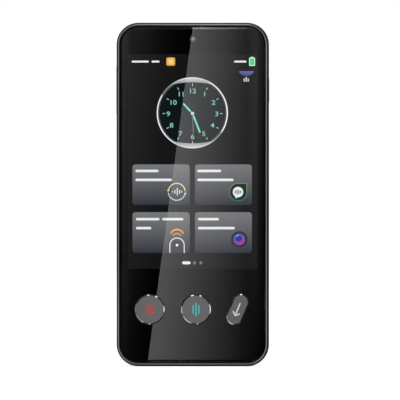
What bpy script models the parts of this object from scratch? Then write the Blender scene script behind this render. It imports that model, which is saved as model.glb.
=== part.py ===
"""Handheld translator: a slim slab with a touch screen and three keys under it.

It stands on its lower end as it is held up to read: +Z runs up the screen, the screen faces -Y,
and +X is on the reader's right. Depths are measured into the body from the face of the glass.
"""

import math

import bmesh
import bpy
from mathutils import Matrix, Vector

# Smoothness
CORNER_STEPS = 9
SMALL_CORNER_STEPS = 4
SMALL_CORNER = 0.003
EDGE_STEPS = 3
COVER_EDGE_STEPS = 5
ROUND_STEPS = 32
SMALL_ROUND_STEPS = 16
DOME_RINGS = 4
FLEX_BEND_STEPS = 5
ROUND_PROFILE = 0.5
SMOOTH_ANGLE = math.radians(35)
SAME_LEVEL_SHARE = 1e-4
MERGE_DISTANCE = 1e-7
QUARTER_TURN = math.radians(90)
HALF_TURN = math.radians(180)

# Clearances
LAYER_GAP = 0.0003
SEAT_GAP = 0.0002
FIT_GAP = 0.0003
CUT_OVERRUN = 0.001

# Screen module
ACTIVE_WIDTH = 0.05184
ACTIVE_HEIGHT = 0.0864
LCD_SIDE_BORDER = 0.0016
LCD_TOP_BORDER = 0.0019
LCD_LEDGE = 0.0046
LCD_THICKNESS = 0.0010
LCD_CORNER = 0.0008
BACKLIGHT_THICKNESS = 0.0011
BACKLIGHT_SETBACK = 0.0030

# Side frame and the glass let into it
FRAME_WALL = 0.0022
CORNER_RADIUS = 0.0088
RIM_WIDTH = 0.00115
RIM_DROP = 0.00025
RIM_ROUND = 0.0005
FRAME_BACK_ROUND = 0.0002
PLATE_LEDGE_WIDTH = 0.0006
PLATE_LEDGE_THICKNESS = 0.0008
LUG_WIDTH = 0.0038
LUG_ROUND = 0.0008
LUG_RAISE = 0.0001
GLASS_THICKNESS = 0.0011
GLASS_SIDE_GAP = 0.00015
GLASS_ROUND = 0.0007
LCD_SIDE_GAP = 0.00093

# Front camera
FRONT_CAMERA_SIZE = 0.0054
FRONT_CAMERA_TOP_GAP = 0.00165
FRONT_CAMERA_LCD_GAP = 0.00145
FRONT_BARREL_RADIUS = 0.0017
FRONT_BARREL_LENGTH = 0.0012
FRONT_LENS_RADIUS = 0.0009
FRONT_LENS_DISH = 0.0003

# Keys under the screen
KEY_ROW_TO_END = 0.0229
KEY_ROW_TO_DISPLAY = 0.0163
TALK_KEY_DIAMETER = 0.0119
KEY_PLACE_SHARES = (-0.282, 0.021, 0.294)
BACK_KEY_WIDTH = 0.0063
BACK_KEY_LENGTH = 0.0128
BACK_KEY_TILT = math.radians(-22.5)
KEY_PROUD = 0.0005
KEY_CHAMFER = 0.0003
KEY_SIDE_GAP = 0.0002
KEY_FLANGE_WIDTH = 0.0007
KEY_FLANGE_THICKNESS = 0.0005
PLUNGER_RADIUS = 0.0012
PLUNGER_LENGTH = 0.0003
KEY_TRAVEL = 0.00025
DOME_RADIUS = 0.0024
DOME_HEIGHT = 0.0004
DOME_WALL = 0.00012
KEY_BOARD_THICKNESS = 0.0008
DECK_BOTTOM = 0.0094

# Keys in the long edges
SIDE_KEY_PROUD = 0.00025
SIDE_KEY_WIDTH = 0.0024
SIDE_KEY_CHAMFER = 0.00015
SIDE_FLANGE_WIDTH = 0.0004
SIDE_FLANGE_THICKNESS = 0.0006
POWER_KEY_LENGTH = 0.0100
VOLUME_KEY_LENGTH = 0.0200
SIDE_KEY_ABOVE_BOARD_EDGE = 0.0103
SWITCH_LENGTH = 0.0040
SWITCH_WIDTH = 0.0024
SWITCH_HEIGHT = 0.0015
VOLUME_SWITCH_SPACING = 0.0120

# Middle plate
PLATE_THICKNESS = 0.0008
BOARD_STANDOFF = 0.0005
BOSS_RADIUS = 0.0018
RIB_THICKNESS = 0.0008
RIB_HEIGHT = 0.0020
RIB_CORNER_GAP = 0.0040

# Circuit boards
BOARD_THICKNESS = 0.0008
MAIN_BOARD_HEIGHT = 0.0339
LOWER_BOARD_HEIGHT = 0.0326
BOARD_SQUARE_CORNER = 0.0010
SHIELD_HEIGHT = 0.0018
SHIELD_WALL = 0.0002
SHIELD_CORNER = 0.0006
PROCESSOR_SHIELD_SIDE_GAP = 0.0010
PROCESSOR_SHIELD_CAMERA_GAP = 0.0036
PROCESSOR_SHIELD_TOP_GAP = 0.0069
SHIELD_SPACING = 0.0008
RADIO_SHIELD_HEIGHT = 0.0066
RADIO_SHIELD_EDGE_GAP = 0.0010
RADIO_SHIELD_CONNECTOR_GAP = 0.0030
RADIO_SHIELD_SCREW_GAP = 0.0025
PROCESSOR_SIZE = (0.0120, 0.0120)
MEMORY_SIZE = (0.0080, 0.0110)
RADIO_SIZE = (0.0070, 0.0045)
CHIP_HEIGHT = 0.0009
CHIP_GAP = 0.0006
ANTENNA_SIZE = (0.0100, 0.0026)
ANTENNA_PLACE_SHARE = -0.147
ANTENNA_EDGE_GAP = 0.0015
ANTENNA_HEIGHT = 0.0012
MICROPHONE_SIZE = (0.0035, 0.0026)
MICROPHONE_HEIGHT = 0.0011
MICROPHONE_HOLE_RADIUS = 0.0005
TOP_MICROPHONE_PLACE_SHARE = 0.139
BOTTOM_MICROPHONE_PLACE_SHARE = 0.196
MICROPHONE_EDGE_GAP = 0.0007

# Rear camera and its flash
CAMERA_TO_SIDE = 0.01465
CAMERA_BELOW_TOP = 0.0148
CAMERA_SIZE = 0.0088
CAMERA_BASE_HEIGHT = 0.0036
CAMERA_BARREL_RADIUS = 0.0033
CAMERA_BARREL_GAP = 0.0003
CAMERA_LENS_RADIUS = 0.0016
CAMERA_LENS_DISH = 0.0006
BEZEL_RADIUS = 0.0056
BEZEL_PROUD = 0.0005
BEZEL_SINK = 0.0004
BEZEL_WIDTH = 0.0014
BEZEL_FLANGE = 0.0008
BEZEL_CHAMFER = 0.0003
CAMERA_GLASS_THICKNESS = 0.0006
CAMERA_GLASS_RECESS = 0.0002
FLASH_BELOW_CAMERA = 0.0105
FLASH_WINDOW_RADIUS = 0.0019
FLASH_LED_SIZE = 0.0028
FLASH_LED_HEIGHT = 0.0012
FLASH_STEM_RADIUS = 0.0014

# Battery
BATTERY_THICKNESS = 0.0050
BATTERY_ROUND = 0.0012
SWELL_GAP = 0.0006
FLEX_CHANNEL = 0.0070
BATTERY_STRIP_HEIGHT = 0.0040
BATTERY_STRIP_THICKNESS = 0.0028
BATTERY_LEAD_WIDTH = 0.0060
BATTERY_LEAD_PLACE_SHARE = 0.057

# Flat connectors and flexes
CONNECTOR_SIZE = (0.0066, 0.0028)
CONNECTOR_HEIGHT = 0.0009
LINK_FLEX_WIDTH = 0.0050
LINK_CONNECTOR_EDGE_GAP = 0.0014
FLEX_THICKNESS = 0.00015
DISPLAY_FLEX_WIDTH = 0.0160
DISPLAY_FLEX_LAP = 0.0022
KEY_FLEX_WIDTH = 0.0060
KEY_FLEX_PLACE_SHARE = -0.163
FLEX_BEND = 0.0006
FLEX_SLOT_GAP = 0.0006

# Charging socket
SOCKET_WIDTH = 0.00894
SOCKET_HEIGHT = 0.0032
SOCKET_LENGTH = 0.0073
SOCKET_WALL = 0.0003
SOCKET_SINK = 0.0002
SOCKET_RECESS = 0.0003
SOCKET_BACK_WALL = 0.0006
TONGUE_WIDTH = 0.0067
TONGUE_THICKNESS = 0.0007
TONGUE_RECESS = 0.0009

# Loudspeaker
SPEAKER_SIZE = (0.0320, 0.0150)
SPEAKER_ABOVE_END = 0.0205
SPEAKER_CORNER = 0.0020
SPEAKER_MOUTH_SIZE = (0.0220, 0.0095)
SPEAKER_WALL = 0.0008
DIAPHRAGM_THICKNESS = 0.0004
DIAPHRAGM_CROWN = 0.0008
GASKET_WIDTH = 0.0012
GASKET_THICKNESS = 0.0005
MESH_THICKNESS = 0.0002
SPEAKER_SLOTS = 7
SLOT_PITCH = 0.0028
SLOT_WIDTH = 0.0013
SLOT_HEIGHT = 0.0066

# Rear cover
COVER_WALL = 0.0012
COVER_DEPTH = 0.0024
COVER_ROUND = 0.0020
PARTING_GAP = 0.0002
LIP_WALL = 0.0008
LIP_HEIGHT = 0.0016
LIP_GAP = 0.0002
HOOK_LENGTH = 0.0050
HOOK_REACH = 0.0004
HOOK_HEIGHT = 0.0004
HOOK_ABOVE_LIP_EDGE = 0.0002
HOOK_SHARES = (0.20, 0.42, 0.64)

# Screws that hold the boards
SCREW_HEAD_RADIUS = 0.00125
SCREW_HEAD_HEIGHT = 0.0005
SCREW_RADIUS = 0.0006
SCREW_RECESS_LENGTH = 0.0013
SCREW_RECESS_WIDTH = 0.0003
SCREW_RECESS_DEPTH = 0.00025
SIDE_SCREW_INSET = 0.00805
END_SCREW_INSET = 0.0072
PLATE_SCREW_ABOVE_EDGE = 0.0021
MIDDLE_SCREW_PLACE_SHARE = 0.212

# Materials: base colour, roughness, metallic
FINISHES = {
    "black_glass": ((0.010, 0.010, 0.011), 0.06, 0.0),
    "frame_metal": ((0.085, 0.086, 0.090), 0.32, 1.0),
    "key_metal": ((0.142, 0.142, 0.138), 0.42, 0.6),
    "cover_plastic": ((0.022, 0.022, 0.024), 0.48, 0.0),
    "black_plastic": ((0.018, 0.018, 0.019), 0.55, 0.0),
    "plate_metal": ((0.330, 0.335, 0.345), 0.42, 1.0),
    "screen": ((0.016, 0.016, 0.018), 0.18, 0.0),
    "backlight_foil": ((0.560, 0.570, 0.580), 0.35, 0.8),
    "circuit_board": ((0.012, 0.070, 0.045), 0.45, 0.0),
    "chip_plastic": ((0.030, 0.030, 0.032), 0.50, 0.0),
    "shield_steel": ((0.520, 0.525, 0.530), 0.30, 1.0),
    "screw_steel": ((0.400, 0.400, 0.410), 0.28, 1.0),
    "dome_steel": ((0.620, 0.610, 0.590), 0.24, 1.0),
    "lens_glass": ((0.020, 0.022, 0.040), 0.05, 0.0),
    "bezel_metal": ((0.160, 0.162, 0.168), 0.25, 1.0),
    "flash_plastic": ((0.700, 0.660, 0.480), 0.35, 0.0),
    "battery_pouch": ((0.260, 0.262, 0.268), 0.38, 0.5),
    "flex_film": ((0.330, 0.120, 0.020), 0.40, 0.0),
    "foam": ((0.030, 0.030, 0.030), 0.90, 0.0),
    "speaker_cloth": ((0.015, 0.015, 0.016), 0.85, 0.0),
}

# Body sizes that follow from what the body holds
SIDE_BEZEL = FRAME_WALL + LCD_SIDE_GAP + LCD_SIDE_BORDER
FOREHEAD = (
    FRAME_WALL + FRONT_CAMERA_TOP_GAP + FRONT_CAMERA_SIZE + FRONT_CAMERA_LCD_GAP + LCD_TOP_BORDER
)
CHIN = KEY_ROW_TO_END + KEY_ROW_TO_DISPLAY
BODY_WIDTH = ACTIVE_WIDTH + 2 * SIDE_BEZEL
BODY_HEIGHT = CHIN + ACTIVE_HEIGHT + FOREHEAD

# Places across the width, measured from the middle
left_talk_x, right_talk_x, back_x = (BODY_WIDTH * share for share in KEY_PLACE_SHARES)
antenna_x = BODY_WIDTH * ANTENNA_PLACE_SHARE
top_microphone_x = BODY_WIDTH * TOP_MICROPHONE_PLACE_SHARE
bottom_microphone_x = BODY_WIDTH * BOTTOM_MICROPHONE_PLACE_SHARE
battery_lead_x = BODY_WIDTH * BATTERY_LEAD_PLACE_SHARE
key_flex_x = BODY_WIDTH * KEY_FLEX_PLACE_SHARE
middle_screw_x = BODY_WIDTH * MIDDLE_SCREW_PLACE_SHARE
camera_x = BODY_WIDTH / 2 - CAMERA_TO_SIDE
screw_x = BODY_WIDTH / 2 - SIDE_SCREW_INSET

# Depths of the layers behind the face of the glass
glass_back = GLASS_THICKNESS
lcd_front = glass_back + LAYER_GAP
lcd_back = lcd_front + LCD_THICKNESS
backlight_front = lcd_back + LAYER_GAP
backlight_back = backlight_front + BACKLIGHT_THICKNESS
plate_front = backlight_back + LAYER_GAP
plate_back = plate_front + PLATE_THICKNESS
battery_front = plate_back + LAYER_GAP
battery_back = battery_front + BATTERY_THICKNESS
cover_inside = battery_back + SWELL_GAP
body_back = cover_inside + COVER_WALL
cover_front = body_back - COVER_DEPTH
frame_back = cover_front - PARTING_GAP
board_front = plate_back + BOARD_STANDOFF
board_back = board_front + BOARD_THICKNESS
part_seat = board_back + SEAT_GAP
ledge_back = plate_front - SEAT_GAP
ledge_front = ledge_back - PLATE_LEDGE_THICKNESS

# Insets from the body's outline
glass_inset = RIM_WIDTH + GLASS_SIDE_GAP
plate_inset = FRAME_WALL + FIT_GAP
board_inset = FRAME_WALL + FIT_GAP + SIDE_FLANGE_THICKNESS + FIT_GAP
lip_outer_inset = FRAME_WALL + LIP_GAP
lip_inner_inset = lip_outer_inset + LIP_WALL

# Heights above the lower end
key_row = KEY_ROW_TO_END
active_bottom = CHIN
active_top = CHIN + ACTIVE_HEIGHT
lcd_bottom = active_bottom - LCD_LEDGE
lcd_top = active_top + LCD_TOP_BORDER
front_camera_height = lcd_top + FRONT_CAMERA_LCD_GAP + FRONT_CAMERA_SIZE / 2
main_board_top = BODY_HEIGHT - board_inset
main_board_bottom = main_board_top - MAIN_BOARD_HEIGHT
lower_board_bottom = board_inset
lower_board_top = lower_board_bottom + LOWER_BOARD_HEIGHT
camera_height = BODY_HEIGHT - CAMERA_BELOW_TOP
side_key_height = main_board_bottom + SIDE_KEY_ABOVE_BOARD_EDGE
side_key_depth = part_seat + SWITCH_HEIGHT / 2
socket_depth = board_front + SOCKET_HEIGHT / 2 - SOCKET_SINK
microphone_depth = part_seat + MICROPHONE_HEIGHT / 2

# The bounding box is centred on the origin, so the proud key and the camera's ring share its depth
overall_depth = KEY_PROUD + body_back + BEZEL_PROUD
front_y = KEY_PROUD - overall_depth / 2

TOWARDS_FRONT = Matrix.Rotation(QUARTER_TURN, 4, "X")
TOWARDS_REAR = Matrix.Rotation(-QUARTER_TURN, 4, "X")
TOWARDS_RIGHT = Matrix.Rotation(QUARTER_TURN, 4, "Y")
TOWARDS_LEFT = Matrix.Rotation(-QUARTER_TURN, 4, "Y")
UPWARDS = Matrix.Identity(4)
TOWARDS_BOTTOM = Matrix.Rotation(HALF_TURN, 4, "X")


def y_at(depth):
    """The Y coordinate of a depth behind the face of the glass."""
    return front_y + depth


def clear_scene():
    for old in list(bpy.data.objects):
        bpy.data.objects.remove(old)


def new_collection(name):
    made = bpy.data.collections.new(name)
    bpy.context.scene.collection.children.link(made)
    return made


clear_scene()
PARTS = new_collection("handheld_translator")
CUTTERS = new_collection("cutters")


def finish_of(name):
    """The Principled material of that finish, made once."""
    found = bpy.data.materials.get(name)
    if found:
        return found
    colour, roughness, metallic = FINISHES[name]
    made = bpy.data.materials.new(name)
    made.use_nodes = True
    shader = made.node_tree.nodes["Principled BSDF"]
    shader.inputs["Base Color"].default_value = (*colour, 1.0)
    shader.inputs["Roughness"].default_value = roughness
    shader.inputs["Metallic"].default_value = metallic
    made.diffuse_color = (*colour, 1.0)
    return made


def add_object(name, mesh, finish):
    """Links a mesh as a sub-part, or as a cutter when it has no finish."""
    made = bpy.data.objects.new(name, mesh)
    if finish:
        mesh.materials.clear()
        mesh.materials.append(finish_of(finish))
        PARTS.objects.link(made)
    else:
        made.hide_render = True
        made.display_type = "WIRE"
        CUTTERS.objects.link(made)
    return made


def evaluated_mesh(thing):
    bpy.context.view_layer.update()
    graph = bpy.context.evaluated_depsgraph_get()
    return bpy.data.meshes.new_from_object(thing.evaluated_get(graph))


def smooth(mesh):
    mesh.shade_smooth()
    mesh.set_sharp_from_angle(angle=SMOOTH_ANGLE)


def slab(name, finish, x, depth, z, corner=0.0, front=0.0, back=0.0, back_steps=EDGE_STEPS):
    """A block between two places on each axis.

    corner rounds it as seen from the front, front and back round the rims of those faces.
    """
    size = Vector((x[1] - x[0], depth[1] - depth[0], z[1] - z[0]))
    shape = bmesh.new()
    bmesh.ops.create_cube(shape, size=1.0)
    bmesh.ops.scale(shape, vec=size, verts=shape.verts)
    if corner:
        upright = [e for e in shape.edges if abs(e.verts[0].co.y - e.verts[1].co.y) > size.y / 2]
        bevel(shape, upright, corner, CORNER_STEPS if corner > SMALL_CORNER else SMALL_CORNER_STEPS)
    for amount, side, steps in ((front, -1, EDGE_STEPS), (back, 1, back_steps)):
        if amount:
            level = side * size.y / 2
            rim = [
                e for e in shape.edges
                if all(math.isclose(v.co.y, level, rel_tol=SAME_LEVEL_SHARE) for v in e.verts)
            ]
            bevel(shape, rim, amount, steps)
    mesh = bpy.data.meshes.new(name)
    shape.to_mesh(mesh)
    shape.free()
    smooth(mesh)
    made = add_object(name, mesh, finish)
    made.location = ((x[0] + x[1]) / 2, y_at((depth[0] + depth[1]) / 2), (z[0] + z[1]) / 2)
    return made


def bevel(shape, edges, amount, steps):
    bmesh.ops.bevel(
        shape,
        geom=edges,
        offset=amount,
        offset_type="OFFSET",
        segments=steps,
        profile=ROUND_PROFILE,
        affect="EDGES",
        clamp_overlap=True,
    )


def inset_slab(name, finish, inset, depth, front=0.0, back=0.0, back_steps=EDGE_STEPS):
    """A slab with the body's own outline, drawn in by inset all round."""
    half = BODY_WIDTH / 2 - inset
    return slab(
        name,
        finish,
        (-half, half),
        depth,
        (inset, BODY_HEIGHT - inset),
        CORNER_RADIUS - inset,
        front,
        back,
        back_steps,
    )


def turned(name, finish, profile, place, facing, steps=ROUND_STEPS, stretch=0.0, tilt=0.0):
    """A profile of (radius, height) points turned about the piece's own Z, which then faces out.

    The profile runs down its outer side. stretch pulls the two halves apart, which turns the
    circle into a round-ended slot, and tilt then turns it about the axis.
    """
    mesh = bpy.data.meshes.new(name)
    points = [(radius, 0.0, height) for radius, height in profile]
    mesh.from_pydata(points, [(i, i + 1) for i in range(len(points) - 1)], [])
    helper = bpy.data.objects.new(name + "_profile", mesh)
    CUTTERS.objects.link(helper)
    screw = helper.modifiers.new("turn", "SCREW")
    screw.axis = "Z"
    screw.angle = math.tau
    screw.steps = steps
    screw.render_steps = steps
    screw.use_merge_vertices = True
    screw.merge_threshold = MERGE_DISTANCE
    made_mesh = evaluated_mesh(helper)
    bpy.data.objects.remove(helper)
    made_mesh.transform(Matrix.Rotation(math.pi / steps, 4, "Z"))
    if stretch:
        for vertex in made_mesh.vertices:
            vertex.co.y += math.copysign(stretch / 2, vertex.co.y)
    made_mesh.transform(Matrix.Rotation(tilt, 4, "Z"))
    closed = bmesh.new()
    closed.from_mesh(made_mesh)
    bmesh.ops.remove_doubles(closed, verts=closed.verts, dist=MERGE_DISTANCE)
    bmesh.ops.recalc_face_normals(closed, faces=closed.faces)
    closed.to_mesh(made_mesh)
    closed.free()
    smooth(made_mesh)
    made = add_object(name, made_mesh, finish)
    made.matrix_world = Matrix.Translation(place) @ facing
    return made


def plug(name, radius, start, end, place, facing, steps=ROUND_STEPS, stretch=0.0, tilt=0.0, finish=None):
    """A cylinder, or a round-ended bar, from start to end along the way it faces."""
    profile = [(0.0, end), (radius, end), (radius, start), (0.0, start)]
    return turned(name, finish, profile, place, facing, steps, stretch, tilt)


def joined(name, shapes):
    """One helper holding several shapes that stand apart, so that a single Boolean takes them all."""
    bpy.context.view_layer.update()
    whole = bmesh.new()
    for shape in shapes:
        mesh = evaluated_mesh(shape)
        mesh.transform(shape.matrix_world)
        whole.from_mesh(mesh)
        bpy.data.meshes.remove(mesh)
        bpy.data.objects.remove(shape)
    mesh = bpy.data.meshes.new(name)
    whole.to_mesh(mesh)
    whole.free()
    return add_object(name, mesh, None)


def combine(piece, helper, operation):
    """Adds a Boolean that cuts the helper out of the piece, or joins it on."""
    step = piece.modifiers.new(helper.name, "BOOLEAN")
    step.operation = operation
    step.object = helper
    step.solver = "EXACT"


def cut(piece, *helpers):
    for helper in helpers:
        combine(piece, helper, "DIFFERENCE")


def join(piece, *helpers):
    for helper in helpers:
        combine(piece, helper, "UNION")


def block_on(name, finish, centre, size, depth, corner=0.0, front=0.0, back=0.0):
    """A slab given by its centre and its size as seen from the front."""
    (x, z), (width, height) = centre, size
    return slab(
        name,
        finish,
        (x - width / 2, x + width / 2),
        depth,
        (z - height / 2, z + height / 2),
        corner,
        front,
        back,
    )


def ribbon(name, path, centre_x, width):
    """A flex: a strip that follows a path of (depth, height) points, given its thickness."""
    shape = bmesh.new()
    line = [shape.verts.new((centre_x - width / 2, y_at(depth), height)) for depth, height in path]
    edges = [shape.edges.new(pair) for pair in zip(line, line[1:])]
    grown = bmesh.ops.extrude_edge_only(shape, edges=edges)["geom"]
    moved = [item for item in grown if isinstance(item, bmesh.types.BMVert)]
    bmesh.ops.translate(shape, verts=moved, vec=(width, 0.0, 0.0))
    mesh = bpy.data.meshes.new(name)
    shape.to_mesh(mesh)
    shape.free()
    made = add_object(name, mesh, "flex_film")
    wall = made.modifiers.new("film", "SOLIDIFY")
    wall.thickness = FLEX_THICKNESS
    wall.offset = 0.0
    wall.use_even_offset = True
    return made


def bend(corner, start_angle, end_angle, radius):
    """Points of a round bend about a corner's centre, as (depth, height)."""
    depth, height = corner
    points = []
    for i in range(FLEX_BEND_STEPS + 1):
        angle = math.radians(start_angle + (end_angle - start_angle) * i / FLEX_BEND_STEPS)
        points.append((depth + radius * math.cos(angle), height + radius * math.sin(angle)))
    return points


def on_axis(name, x, depth, z, pieces):
    """An empty on a joint's axis, which carries the pieces that move with it."""
    axis = bpy.data.objects.new(name, None)
    axis.location = (x, y_at(depth), z)
    PARTS.objects.link(axis)
    bpy.context.view_layer.update()
    for piece in pieces:
        world = piece.matrix_world.copy()
        piece.parent = axis
        piece.matrix_world = world
    return axis


def key_profile(radius, proud, chamfer, wall, flange_gap, flange_width, flange_thickness):
    """A key's outer side: chamfered cap, stem through the wall, and the flange that keeps it in."""
    flange_top = -(wall + flange_gap)
    flange_bottom = flange_top - flange_thickness
    return [
        (0.0, proud),
        (radius - chamfer, proud),
        (radius, proud - chamfer),
        (radius, flange_top),
        (radius + flange_width, flange_top),
        (radius + flange_width, flange_bottom),
    ]


# Keys under the screen: name, centre, radius, stretch and tilt
FRONT_KEYS = (
    ("left_talk", left_talk_x, TALK_KEY_DIAMETER / 2, 0.0, 0.0),
    ("right_talk", right_talk_x, TALK_KEY_DIAMETER / 2, 0.0, 0.0),
    ("back", back_x, BACK_KEY_WIDTH / 2, BACK_KEY_LENGTH - BACK_KEY_WIDTH, BACK_KEY_TILT),
)
flange_front = glass_back + LAYER_GAP
flange_back = flange_front + KEY_FLANGE_THICKNESS
plunger_tip = flange_back + PLUNGER_LENGTH
dome_top = plunger_tip + KEY_TRAVEL + SEAT_GAP / 2
dome_seat = dome_top + DOME_HEIGHT
key_board_front = dome_seat + SEAT_GAP / 2
key_board_back = key_board_front + KEY_BOARD_THICKNESS


def key_holes(name, grow, start, end):
    """Cutters shaped like the three front keys, grown all round, between two depths."""
    return joined(
        name,
        [
            plug(f"{name}_{key}", radius + grow, -end, -start, (x, front_y, key_row), TOWARDS_FRONT,
                 ROUND_STEPS, stretch, tilt)
            for key, x, radius, stretch, tilt in FRONT_KEYS
        ],
    )


def make_cover_glass():
    glass = inset_slab("cover_glass", "black_glass", glass_inset, (0.0, glass_back), front=GLASS_ROUND)
    cut(glass, key_holes("glass_key_holes", KEY_SIDE_GAP, -CUT_OVERRUN, glass_back + CUT_OVERRUN))


def make_front_keys():
    for key, x, radius, stretch, tilt in FRONT_KEYS:
        profile = key_profile(
            radius, KEY_PROUD, KEY_CHAMFER, glass_back, LAYER_GAP, KEY_FLANGE_WIDTH, KEY_FLANGE_THICKNESS
        )
        profile += [
            (PLUNGER_RADIUS, -flange_back),
            (PLUNGER_RADIUS, -plunger_tip),
            (0.0, -plunger_tip),
        ]
        place = (x, front_y, key_row)
        cap = turned(f"{key}_key", "key_metal", profile, place, TOWARDS_FRONT, ROUND_STEPS, stretch, tilt)
        on_axis(f"{key}_key_axis", x, 0.0, key_row, [cap])
        make_dome(f"{key}_dome", x)


def make_dome(name, x):
    """A snap dome: a thin spherical cap, open underneath."""
    sphere = (DOME_RADIUS**2 + DOME_HEIGHT**2) / (2 * DOME_HEIGHT)

    def arc(radius):
        edge_angle = math.acos((sphere - DOME_HEIGHT) / radius)
        angles = [edge_angle * i / DOME_RINGS for i in range(DOME_RINGS + 1)]
        return [(radius * math.sin(a), radius * math.cos(a) - sphere - dome_top) for a in angles]

    outer = arc(sphere)
    inner = arc(sphere - DOME_WALL)
    turned(name, "dome_steel", outer + inner[::-1], (x, front_y, key_row), TOWARDS_FRONT, SMALL_ROUND_STEPS)


def make_key_deck():
    """The bracket that holds the glass off the key board, and the board itself."""
    half = BODY_WIDTH / 2 - plate_inset
    span_z = (DECK_BOTTOM, lcd_bottom - FLEX_BEND - FLEX_THICKNESS / 2 - FIT_GAP)
    bracket = slab(
        "key_bracket",
        "black_plastic",
        (-half, half),
        (flange_front, key_board_front - LAYER_GAP),
        span_z,
        corner=BOARD_SQUARE_CORNER,
    )
    cut(bracket, key_holes("bracket_wells", KEY_FLANGE_WIDTH + FIT_GAP, 0.0, key_board_back))
    board_half = BODY_WIDTH / 2 - board_inset
    slab(
        "key_board",
        "circuit_board",
        (-board_half, board_half),
        (key_board_front, key_board_back),
        span_z,
        corner=BOARD_SQUARE_CORNER,
    )


def make_screen():
    half = ACTIVE_WIDTH / 2 + LCD_SIDE_BORDER
    slab("lcd_panel", "screen", (-half, half), (lcd_front, lcd_back), (lcd_bottom, lcd_top), LCD_CORNER)
    slab(
        "backlight_unit",
        "backlight_foil",
        (-half, half),
        (backlight_front, backlight_back),
        (lcd_bottom + BACKLIGHT_SETBACK, lcd_top),
        LCD_CORNER,
    )
    make_display_flex()


def make_display_flex():
    """The screen's flex: under the panel's ledge, back through the plate, to the lower board."""
    start = lcd_back + SEAT_GAP + FLEX_THICKNESS / 2
    end = board_front - SEAT_GAP - FLEX_THICKNESS / 2
    top = lcd_bottom + DISPLAY_FLEX_LAP
    upper = (start + FLEX_BEND, lcd_bottom)
    lower_height = lcd_bottom - FLEX_BEND
    path = [(start, top)]
    path += bend(upper, 180, 270, FLEX_BEND)
    path += bend((end - FLEX_BEND, lower_height - FLEX_BEND), 90, 0, FLEX_BEND)
    path += [(end, lower_height - 2 * FLEX_BEND - DISPLAY_FLEX_LAP)]
    ribbon("display_flex", path, 0.0, DISPLAY_FLEX_WIDTH)


def make_front_camera():
    half = FRONT_CAMERA_SIZE / 2
    shoulder = lcd_front + FRONT_BARREL_LENGTH
    body = slab(
        "front_camera",
        "chip_plastic",
        (-half, half),
        (shoulder, board_front - LAYER_GAP),
        (front_camera_height - half, front_camera_height + half),
        LCD_CORNER,
    )
    barrel = turned(
        "front_camera_barrel",
        None,
        [
            (0.0, -lcd_front - FRONT_LENS_DISH),
            (FRONT_LENS_RADIUS, -lcd_front),
            (FRONT_BARREL_RADIUS, -lcd_front),
            (FRONT_BARREL_RADIUS, -shoulder - FRONT_BARREL_LENGTH / 2),
            (0.0, -shoulder - FRONT_BARREL_LENGTH / 2),
        ],
        (0.0, front_y, front_camera_height),
        TOWARDS_FRONT,
        SMALL_ROUND_STEPS,
    )
    join(body, barrel)


# Keys in the long edges: name, facing, side of the body, length
SIDE_KEYS = (
    ("power_key", TOWARDS_RIGHT, 1, POWER_KEY_LENGTH),
    ("volume_rocker", TOWARDS_LEFT, -1, VOLUME_KEY_LENGTH),
)
side_flange_bottom = FRAME_WALL + FIT_GAP + SIDE_FLANGE_THICKNESS


def make_side_keys():
    for name, facing, side, length in SIDE_KEYS:
        profile = key_profile(
            SIDE_KEY_WIDTH / 2,
            SIDE_KEY_PROUD,
            SIDE_KEY_CHAMFER,
            FRAME_WALL,
            FIT_GAP,
            SIDE_FLANGE_WIDTH,
            SIDE_FLANGE_THICKNESS,
        )
        profile.append((0.0, -side_flange_bottom))
        place = (side * BODY_WIDTH / 2, y_at(side_key_depth), side_key_height)
        key = turned(
            name,
            "frame_metal",
            profile,
            place,
            facing,
            SMALL_ROUND_STEPS,
            length - SIDE_KEY_WIDTH,
            QUARTER_TURN,
        )
        axis_x = side * (BODY_WIDTH / 2 - side_flange_bottom)
        on_axis(f"{name}_axis", axis_x, side_key_depth, side_key_height, [key])
    make_switch("power_switch", 1, side_key_height)
    make_switch("volume_up_switch", -1, side_key_height + VOLUME_SWITCH_SPACING / 2)
    make_switch("volume_down_switch", -1, side_key_height - VOLUME_SWITCH_SPACING / 2)


def make_switch(name, side, height):
    """A side-pushed switch at the edge of the main board."""
    outer = side * (BODY_WIDTH / 2 - board_inset)
    inner = outer - side * SWITCH_WIDTH
    slab(
        name,
        "chip_plastic",
        (min(outer, inner), max(outer, inner)),
        (part_seat, part_seat + SWITCH_HEIGHT),
        (height - SWITCH_LENGTH / 2, height + SWITCH_LENGTH / 2),
    )


def make_side_frame():
    frame = inset_slab(
        "side_frame", "frame_metal", 0.0, (RIM_DROP, frame_back), front=RIM_ROUND, back=FRAME_BACK_ROUND
    )
    rabbet = inset_slab("glass_rabbet", None, RIM_WIDTH, (-CUT_OVERRUN, glass_back + LAYER_GAP))
    cavity = inset_slab("frame_cavity", None, FRAME_WALL, (-CUT_OVERRUN, frame_back + CUT_OVERRUN))
    cut(frame, rabbet, cavity, side_key_slots(), socket_hole(), microphone_holes())
    cut(frame, hook_blocks("hook_pockets", FIT_GAP / 2))
    join(frame, plate_ledge(), frame_lugs())
    cut(frame, screw_holes("lug_holes", FRAME_SCREWS, ledge_front - CUT_OVERRUN, ledge_back + CUT_OVERRUN))


def plate_ledge():
    """The narrow shelf inside the frame that the middle plate is pressed against from behind."""
    depth = (ledge_front, ledge_back)
    ledge = inset_slab("plate_ledge", None, FRAME_WALL - PLATE_LEDGE_WIDTH, depth)
    opening = inset_slab(
        "ledge_opening",
        None,
        FRAME_WALL + PLATE_LEDGE_WIDTH,
        (ledge_front - CUT_OVERRUN, ledge_back + CUT_OVERRUN),
    )
    cut(ledge, opening)
    return ledge


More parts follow.
